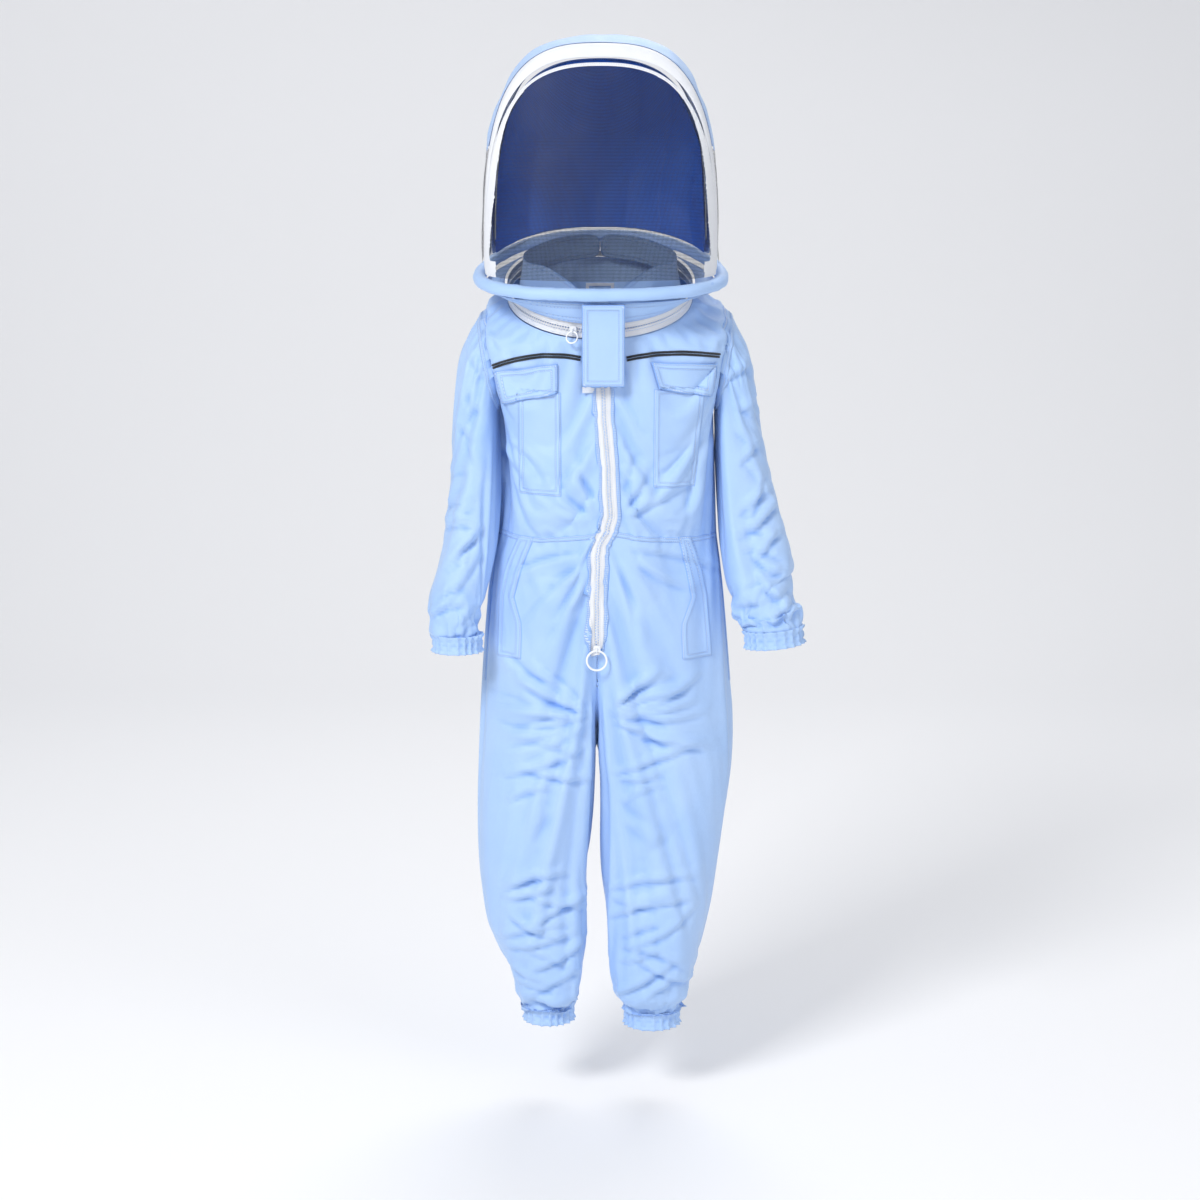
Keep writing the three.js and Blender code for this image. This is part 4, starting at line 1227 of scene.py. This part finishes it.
def across_path(node, steps=26):
    """The middle line of a narrow piece that runs across the chest."""
    data = np.array([v.co for v in frame["nodes"][node].data.vertices])
    low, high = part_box(node)
    path, heights = [], []
    places = np.linspace(low.x + 0.001, high.x - 0.001, steps)
    for x in places:
        near = np.argsort(np.abs(data[:, 0] - x))[:8]
        weight = 1 / (np.abs(data[near, 0] - x) + 0.003)
        heights.append((data[near, 2] * weight).sum() / weight.sum())
    curve = np.polyfit(places, heights, 2)
    for x in places:
        z = float(np.polyval(curve, x))
        hit = coverall_tree.ray_cast(Vector((x, -0.6, z)), Vector((0, 1, 0)), 1.2)[0]
        path.append(hit or Vector((x, (low.y + high.y) / 2, z)))
    return path


for side in ("left", "right"):
    node = f"chest_piping_{side}"
    path = across_path(node)
    for number, aside in ((1, 0.0021), (2, -0.0021)):
        cord = ribbon(f"{node}_cord_{number}", coverall_tree, path, 0.0038, 0.0019, 0.002, aside=aside)
        cord.data.materials.append(black)
        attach(cord, "coverall")
        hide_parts(node)


# ---------------------------------------------------------------- front zip
# A long white zip from throat to fly: woven tape on both sides of a row of
# moulded teeth, with the cloth's edges folded back and stitched beside it.
TAPE, GAP, TOOTH = 0.0095, 0.0026, 0.0021


def tape_finish(name="white_tape"):
    tape = Finish(name, Roughness=0.62, Sheen_Weight=0.2)
    where, x, y, z = tape.place()
    rib = ((x * 0.8 + z + y * 0.4) * (2 * math.pi / 0.0013)).sine()
    edge = tape.node("ShaderNodeAttribute", {"attribute_name": "edge"})[2]
    along = tape.node("ShaderNodeAttribute", {"attribute_name": "along"})[2]
    thread = (abs(edge - 0.002) < 0.0005) * ((along % 0.0034) < 0.0024)
    dent = abs(edge - 0.002).ramp(0.0016, 0.0)
    base = tape.mix(tape.blotch(where, 30.0), colour("eef1f6"), colour("fbfcff"))
    base = tape.mix(rib.ramp(-1, 1) * 0.25, base, colour("d5dbe6"))
    # Painted shade in the dent beside the row of stitches.
    base = tape.mix(dent * 0.4, base, colour("b9c3d4"))
    tape.set("Base Color", tape.mix(thread, base, colour("ffffff")))
    tape.set("Normal", tape.bump(rib * 0.4 + thread - dent * 0.8, 0.0005, 0.8))
    return tape.material


def plastic_finish(name, code):
    plastic = Finish(name, Base_Color=colour(code), Roughness=0.28, Coat_Weight=0.2)
    where = plastic.place()[0]
    plastic.set("Roughness", 0.24 + plastic.blotch(where, 220.0) * 0.16)
    plastic.set("Base Color", plastic.mix(plastic.blotch(where, 90.0), colour(code), colour("e6eaf1")))
    plastic.set("Normal", plastic.bump(plastic.blotch(where, 700.0), 0.0001, 0.4))
    return plastic.material


white_tape, white_plastic = tape_finish(), plastic_finish("white_plastic", "f7f8fa")


def zip_teeth(name, path, tree, outward=None):
    """Moulded teeth in two rows that mesh along a path."""
    count = int(sum((b - a).length for a, b in zip(path, path[1:])) / TOOTH)
    line = [Vector(p) for p in spaced(path, count)]
    points, faces = [], []
    for i in range(1, len(line) - 1):
        tangent = (line[i + 1] - line[i - 1]).normalized()
        if outward is None:
            hit, normal = tree.find_nearest(line[i])[:2]
        else:
            hit, normal = line[i], outward(line[i])
        side = tangent.cross(normal).normalized() * (1 if i % 2 else -1)
        for a, b in ((-0.0012, 1), (0.0030, 0.75)):
            for u, w in ((-1, 0), (1, 0), (1, 1), (-1, 1)):
                points.append(
                    hit + side * a + tangent * (u * 0.00075 * b) + normal * (0.0004 + w * 0.0017 * b)
                )
        n = len(points) - 8
        for f in ((0, 1, 2, 3), (7, 6, 5, 4), (0, 4, 5, 1), (1, 5, 6, 2), (2, 6, 7, 3), (3, 7, 4, 0)):
            faces.append(tuple(n + k for k in f))
    made = mesh_from(name, points, faces, smooth=False)
    mesh = bmesh.new()
    mesh.from_mesh(made.data)
    bmesh.ops.recalc_face_normals(mesh, faces=mesh.faces)
    mesh.to_mesh(made.data)
    mesh.free()
    made.data.materials.append(white_plastic)
    return made


low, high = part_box("front_zip_teeth")
zip_path = []
for z in np.linspace(high.z, low.z, 90):
    x = float(np.mean([zip_x(z + d) for d in (-0.012, -0.006, 0, 0.006, 0.012)]))
    hit = coverall_tree.ray_cast(Vector((x, -0.6, z)), Vector((0, 1, 0)), 1.2)[0]
    zip_path.append(hit)
for side, sign in (("left", 1), ("right", -1)):
    tape = ribbon(
        f"front_zip_tape_{side}_woven", coverall_tree, zip_path, TAPE, 0.0014, 0.004,
        aside=sign * (GAP + TAPE / 2) * -1, sink=-0.0002,
    )
    tape.data.materials.append(white_tape)
    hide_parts(f"front_zip_tape_{side}")
    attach(tape, "coverall")
    fold = ribbon(
        f"zip_facing_{side}", coverall_tree, zip_path, 0.0065, 0.0022, 0.004,
        aside=sign * (GAP + TAPE + 0.0015) * -1,
    )
    fold.data.materials.append(cotton_stitched)
    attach(fold, "coverall")
teeth_row = zip_teeth("front_zip_teeth_moulded", zip_path, coverall_tree)
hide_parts("front_zip_teeth")
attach(teeth_row, "coverall")


# ---------------------------------------------------------------- neck zip
# The hood zips to the neck all round: one white tape sewn to the bodice, one
# to the hood's skirt, and a row of teeth between them.
def softened(node, body, material, levels=2, open_skin=True, name=None, ripple=0.0, scale=20.0):
    """A fine piece in place of a CAD one, with its edges marked for stitching."""
    if open_skin:
        mesh = skin(node)
    else:
        mesh = bmesh.new()
        mesh.from_mesh(frame["nodes"][node].data)
        bmesh.ops.remove_doubles(mesh, verts=mesh.verts, dist=1e-5)
        bmesh.ops.join_triangles(
            mesh, faces=mesh.faces, angle_face_threshold=0.7, angle_shape_threshold=3.0
        )
    piece = from_bmesh(name or node + "_sewn", mesh)
    piece.data.materials.clear()
    applied(piece, "SUBSURF", levels=levels, render_levels=levels)
    points = coordinates(piece)
    check = bmesh.new()
    check.from_mesh(piece.data)
    border = [v.co.copy() for v in check.verts if v.is_boundary]
    check.free()
    if border:
        near = KDTree(len(border))
        for i, p in enumerate(border):
            near.insert(p, i)
        near.balance()
        edge = np.array([near.find(Vector(p))[2] for p in points])
    else:
        edge = np.full(len(points), 0.05)
    set_values(piece, "edge", edge)
    set_values(piece, "along", points.sum(1))
    if ripple:
        out = normals(piece)
        move = np.array([noise.noise(Vector(p) * scale) for p in points])
        move += 0.5 * np.array([noise.noise(Vector(p) * scale * 2.3) for p in points])
        set_coordinates(piece, points + out * (move * ripple * np.clip(edge / 0.02, 0.1, 1))[:, None])
    hollows(piece, 8, 0.003)
    piece.data.materials.append(material)
    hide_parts(node)
    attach(piece, body)
    return piece


for node, body in (("neck_zip_lower_tape", "coverall"), ("neck_zip_upper_tape", "hood")):
    softened(node, body, white_tape)
neck_path = []
for i in range(181):
    turn = 2 * math.pi * i / 180
    back = Vector((0, math.cos(NECK_TILT), math.sin(NECK_TILT)))
    out = Vector((math.cos(turn), 0, 0)) + back * math.sin(turn)
    neck_path.append(NECK_CENTRE + out * (NECK_RADIUS - 0.0012))
neck_teeth = zip_teeth("neck_zip_teeth_moulded", neck_path, None, lambda p: (p - NECK_CENTRE).normalized())
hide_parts("neck_zip_teeth")
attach(neck_teeth, "coverall")

# ---------------------------------------------------------------- collar
# A soft stand collar in two halves inside the hood, open at the throat, with
# its edges turned in and stitched.
for side in ("left", "right"):
    collar = softened(
        f"stand_collar_{side}", "coverall", cotton_stitched, 3, ripple=0.0035, scale=16.0
    )
    declare_cloth((0.09, 0.36, 0.85))


# ---------------------------------------------------------------- hood cloth
# The hood's crown and back are twill too, with the sides and the front left
# as net; a skirt of twill joins the ring to the neck zip.
# A deep blue copy of the twill: painted shade for the inside of the hood's back.
hood_shade_blue = cotton_finish("hood_lining", tint=colour("2a6bd6"))
HOOD_BACK_CUT = (0.32, 0.40, 0.85)
for node, ripple, cut in (
    ("hood_crown", 0.004, (0.16, 0.55, 1.0)),
    ("hood_back", 0.005, HOOD_BACK_CUT),
    ("hood_neck_band", 0.0025, (0.035, 0.97, 1.0)),
):
    piece = softened(node, "hood", cotton_stitched, 3, ripple=ripple, scale=13.0)
    declare_cloth(cut)
# A deep blue sheet just inside the hood's back, pushed inward in folds: painted shade on the hood's inner
# side.
shade_sheet = softened("hood_back", "hood", hood_shade_blue, 3, name="hood_back_lining", ripple=0.005, scale=13.0)
shade_sheet_points = coordinates(shade_sheet)
pleats = 0.0045 + 0.0045 * np.abs(np.sin(shade_sheet_points[:, 0] * 62 + 0.6 * np.sin(shade_sheet_points[:, 2] * 19)))
set_coordinates(shade_sheet, shade_sheet_points - normals(shade_sheet) * pleats[:, None])
declare_cloth(HOOD_BACK_CUT)
casing = softened("base_casing", "hood", cotton, 2, open_skin=False, ripple=0.0012, scale=40.0)


# ---------------------------------------------------------------- veil
# Black netting, woven as a square mesh, over the face and beside the crown;
# it is held between the hoops by bound edges.
NET_PITCH, NET_THREAD = 0.0020, 0.00052


def netting_finish():
    net = Finish("black_netting", Roughness=0.55)
    net.set("Base Color", colour("15171c"))
    around = net.node("ShaderNodeAttribute", {"attribute_name": "around"})[2]
    up = net.node("ShaderNodeAttribute", {"attribute_name": "up"})[2]
    strand = abs((around % NET_PITCH) - NET_PITCH / 2) < NET_THREAD / 2
    pick = abs((up % NET_PITCH) - NET_PITCH / 2) < NET_THREAD / 2
    net.set("Alpha", strand.top(pick))
    where = net.place()[0]
    net.set("Base Color", net.mix(net.blotch(where, 25.0), colour("101216"), colour("23262c")))
    return net.material


netting = netting_finish()
FRONT_NET_CUT, SIDE_NET_CUT = (0.34, 0.42, 0.85), (0.125, 0.175, 0.85)
for node in ("front_veil", "side_veil_left", "side_veil_right"):
    veil = softened(node, "hood", netting, 3, ripple=0.0022, scale=9.0)
    points = coordinates(veil)
    set_values(veil, "around", np.arctan2(points[:, 0], -points[:, 1] - 0.02) * 0.165)
    set_values(veil, "up", points[:, 2] + 0.35 * np.abs(points[:, 0]) ** 2 * 8 * (points[:, 2] > 0.2))
    cut = FRONT_NET_CUT if node == "front_veil" else SIDE_NET_CUT
    declare_cloth(cut)

# ---------------------------------------------------------------- veil binding
# A wide band of white tape runs up both sides and over the top of the front
# net, sewn down along both its edges.
BAND_LOW, BAND_HIGH = 0.023, 0.005


def band_width(z):
    return BAND_LOW + (BAND_HIGH - BAND_LOW) * smoothstep((z - 0.06) / 0.21)


band = softened("front_veil", "hood", white_tape, 3, name="front_veil_band", ripple=0.0022, scale=9.0)
mesh = bmesh.new()
mesh.from_mesh(band.data)
mark = mesh.verts.layers.float["edge"]
bare = [f for f in mesh.faces if min(v[mark] - band_width(v.co.z) for v in f.verts) > 0]
bmesh.ops.delete(mesh, geom=bare, context="FACES")
net_edge = KDTree(len(mesh.verts))
for vertex in mesh.verts:
    if vertex[mark] < 1e-6:
        net_edge.insert(vertex.co, vertex.index)
net_edge.balance()
for vertex in mesh.verts:
    width = band_width(vertex.co.z)
    if vertex[mark] > width:
        border = net_edge.find(vertex.co)[0]
        vertex.co = border + (vertex.co - border) * (width / vertex[mark])
        vertex[mark] = width
level = max(v.co.z for v in mesh.verts if abs(v.co.x) < 0.03 and v.co.z < 0.1) + 0.004
low_edge = [
    f for f in mesh.faces
    if max(v.co.z for v in f.verts) < level and abs(f.calc_center_median().x) < 0.152
]
bmesh.ops.delete(mesh, geom=low_edge, context="FACES")
mesh.to_mesh(band.data)
mesh.free()
set_coordinates(band, coordinates(band) + normals(band) * 0.0012)
declare_cloth((0.014, 0.85, 1.0))


# ---------------------------------------------------------------- hoops and bindings
# Two sprung hoops arch over the head inside white bindings that are sewn
# round the edges of the net and the crown.
for node in ("front_arch_binding", "rear_arch_binding"):
    softened(node, "hood", white_tape, 2, open_skin=False)


# ---------------------------------------------------------------- chest tab
# A doubled flap of twill that closes over the front of the neck zip and is
# held down by a hook-and-loop patch.
tab_tree = tree_of("chest_tab")
tab = patch("chest_tab_cloth", tab_tree, four_sided("chest_tab", 46, 26), 0.0003, thick=0.0032, wave=0.0015)
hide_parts("chest_tab")
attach(tab, "chest_tab")
declare_cloth((0.064, 0.122, 1.0))


# ---------------------------------------------------------------- hardware
# Sliders and ring pulls are moulded in white plastic; hooks and loops, wire
# and elastic are inside or under the cloth.
def wire_finish():
    wire = Finish("spring_wire", Metallic=1.0, Roughness=0.35)
    where = wire.place()[0]
    wire.set("Base Color", wire.mix(wire.blotch(where, 80.0), colour("8d9299"), colour("b9bec5")))
    return wire.material


def fuzzy_finish():
    fuzzy = Finish("hook_and_loop", Roughness=0.85, Sheen_Weight=0.5)
    where = fuzzy.place()[0]
    fuzzy.set("Base Color", fuzzy.mix(fuzzy.blotch(where, 900.0), colour("c9d2e0"), colour("f2f5fa")))
    fuzzy.set("Normal", fuzzy.bump(fuzzy.blotch(where, 1400.0), 0.0008, 1.0))
    return fuzzy.material


steel, fuzzy, elastic = wire_finish(), fuzzy_finish(), tape_finish("ribbed_elastic")
for node, piece in frame["nodes"].items():
    if piece.hide_render:
        continue
    if "slider" in node or "pull" in node:
        finish = white_plastic
    elif "hoop" in node or "wire" in node:
        finish = steel
    elif "patch" in node:
        finish = fuzzy
    elif "elastic" in node:
        finish = elastic
    else:
        finish = white_tape
    piece.data.materials.clear()
    piece.data.materials.append(finish)
    weld = piece.modifiers.new("weld", "WELD")
    weld.merge_threshold = 0.00002
    if "pull" in node or "hoop" in node or "wire" in node:
        smooth = piece.modifiers.new("smooth", "SUBSURF")
        smooth.levels = smooth.render_levels = 2
    else:
        edge = piece.modifiers.new("edge", "BEVEL")
        edge.width, edge.segments = 0.0003, 2
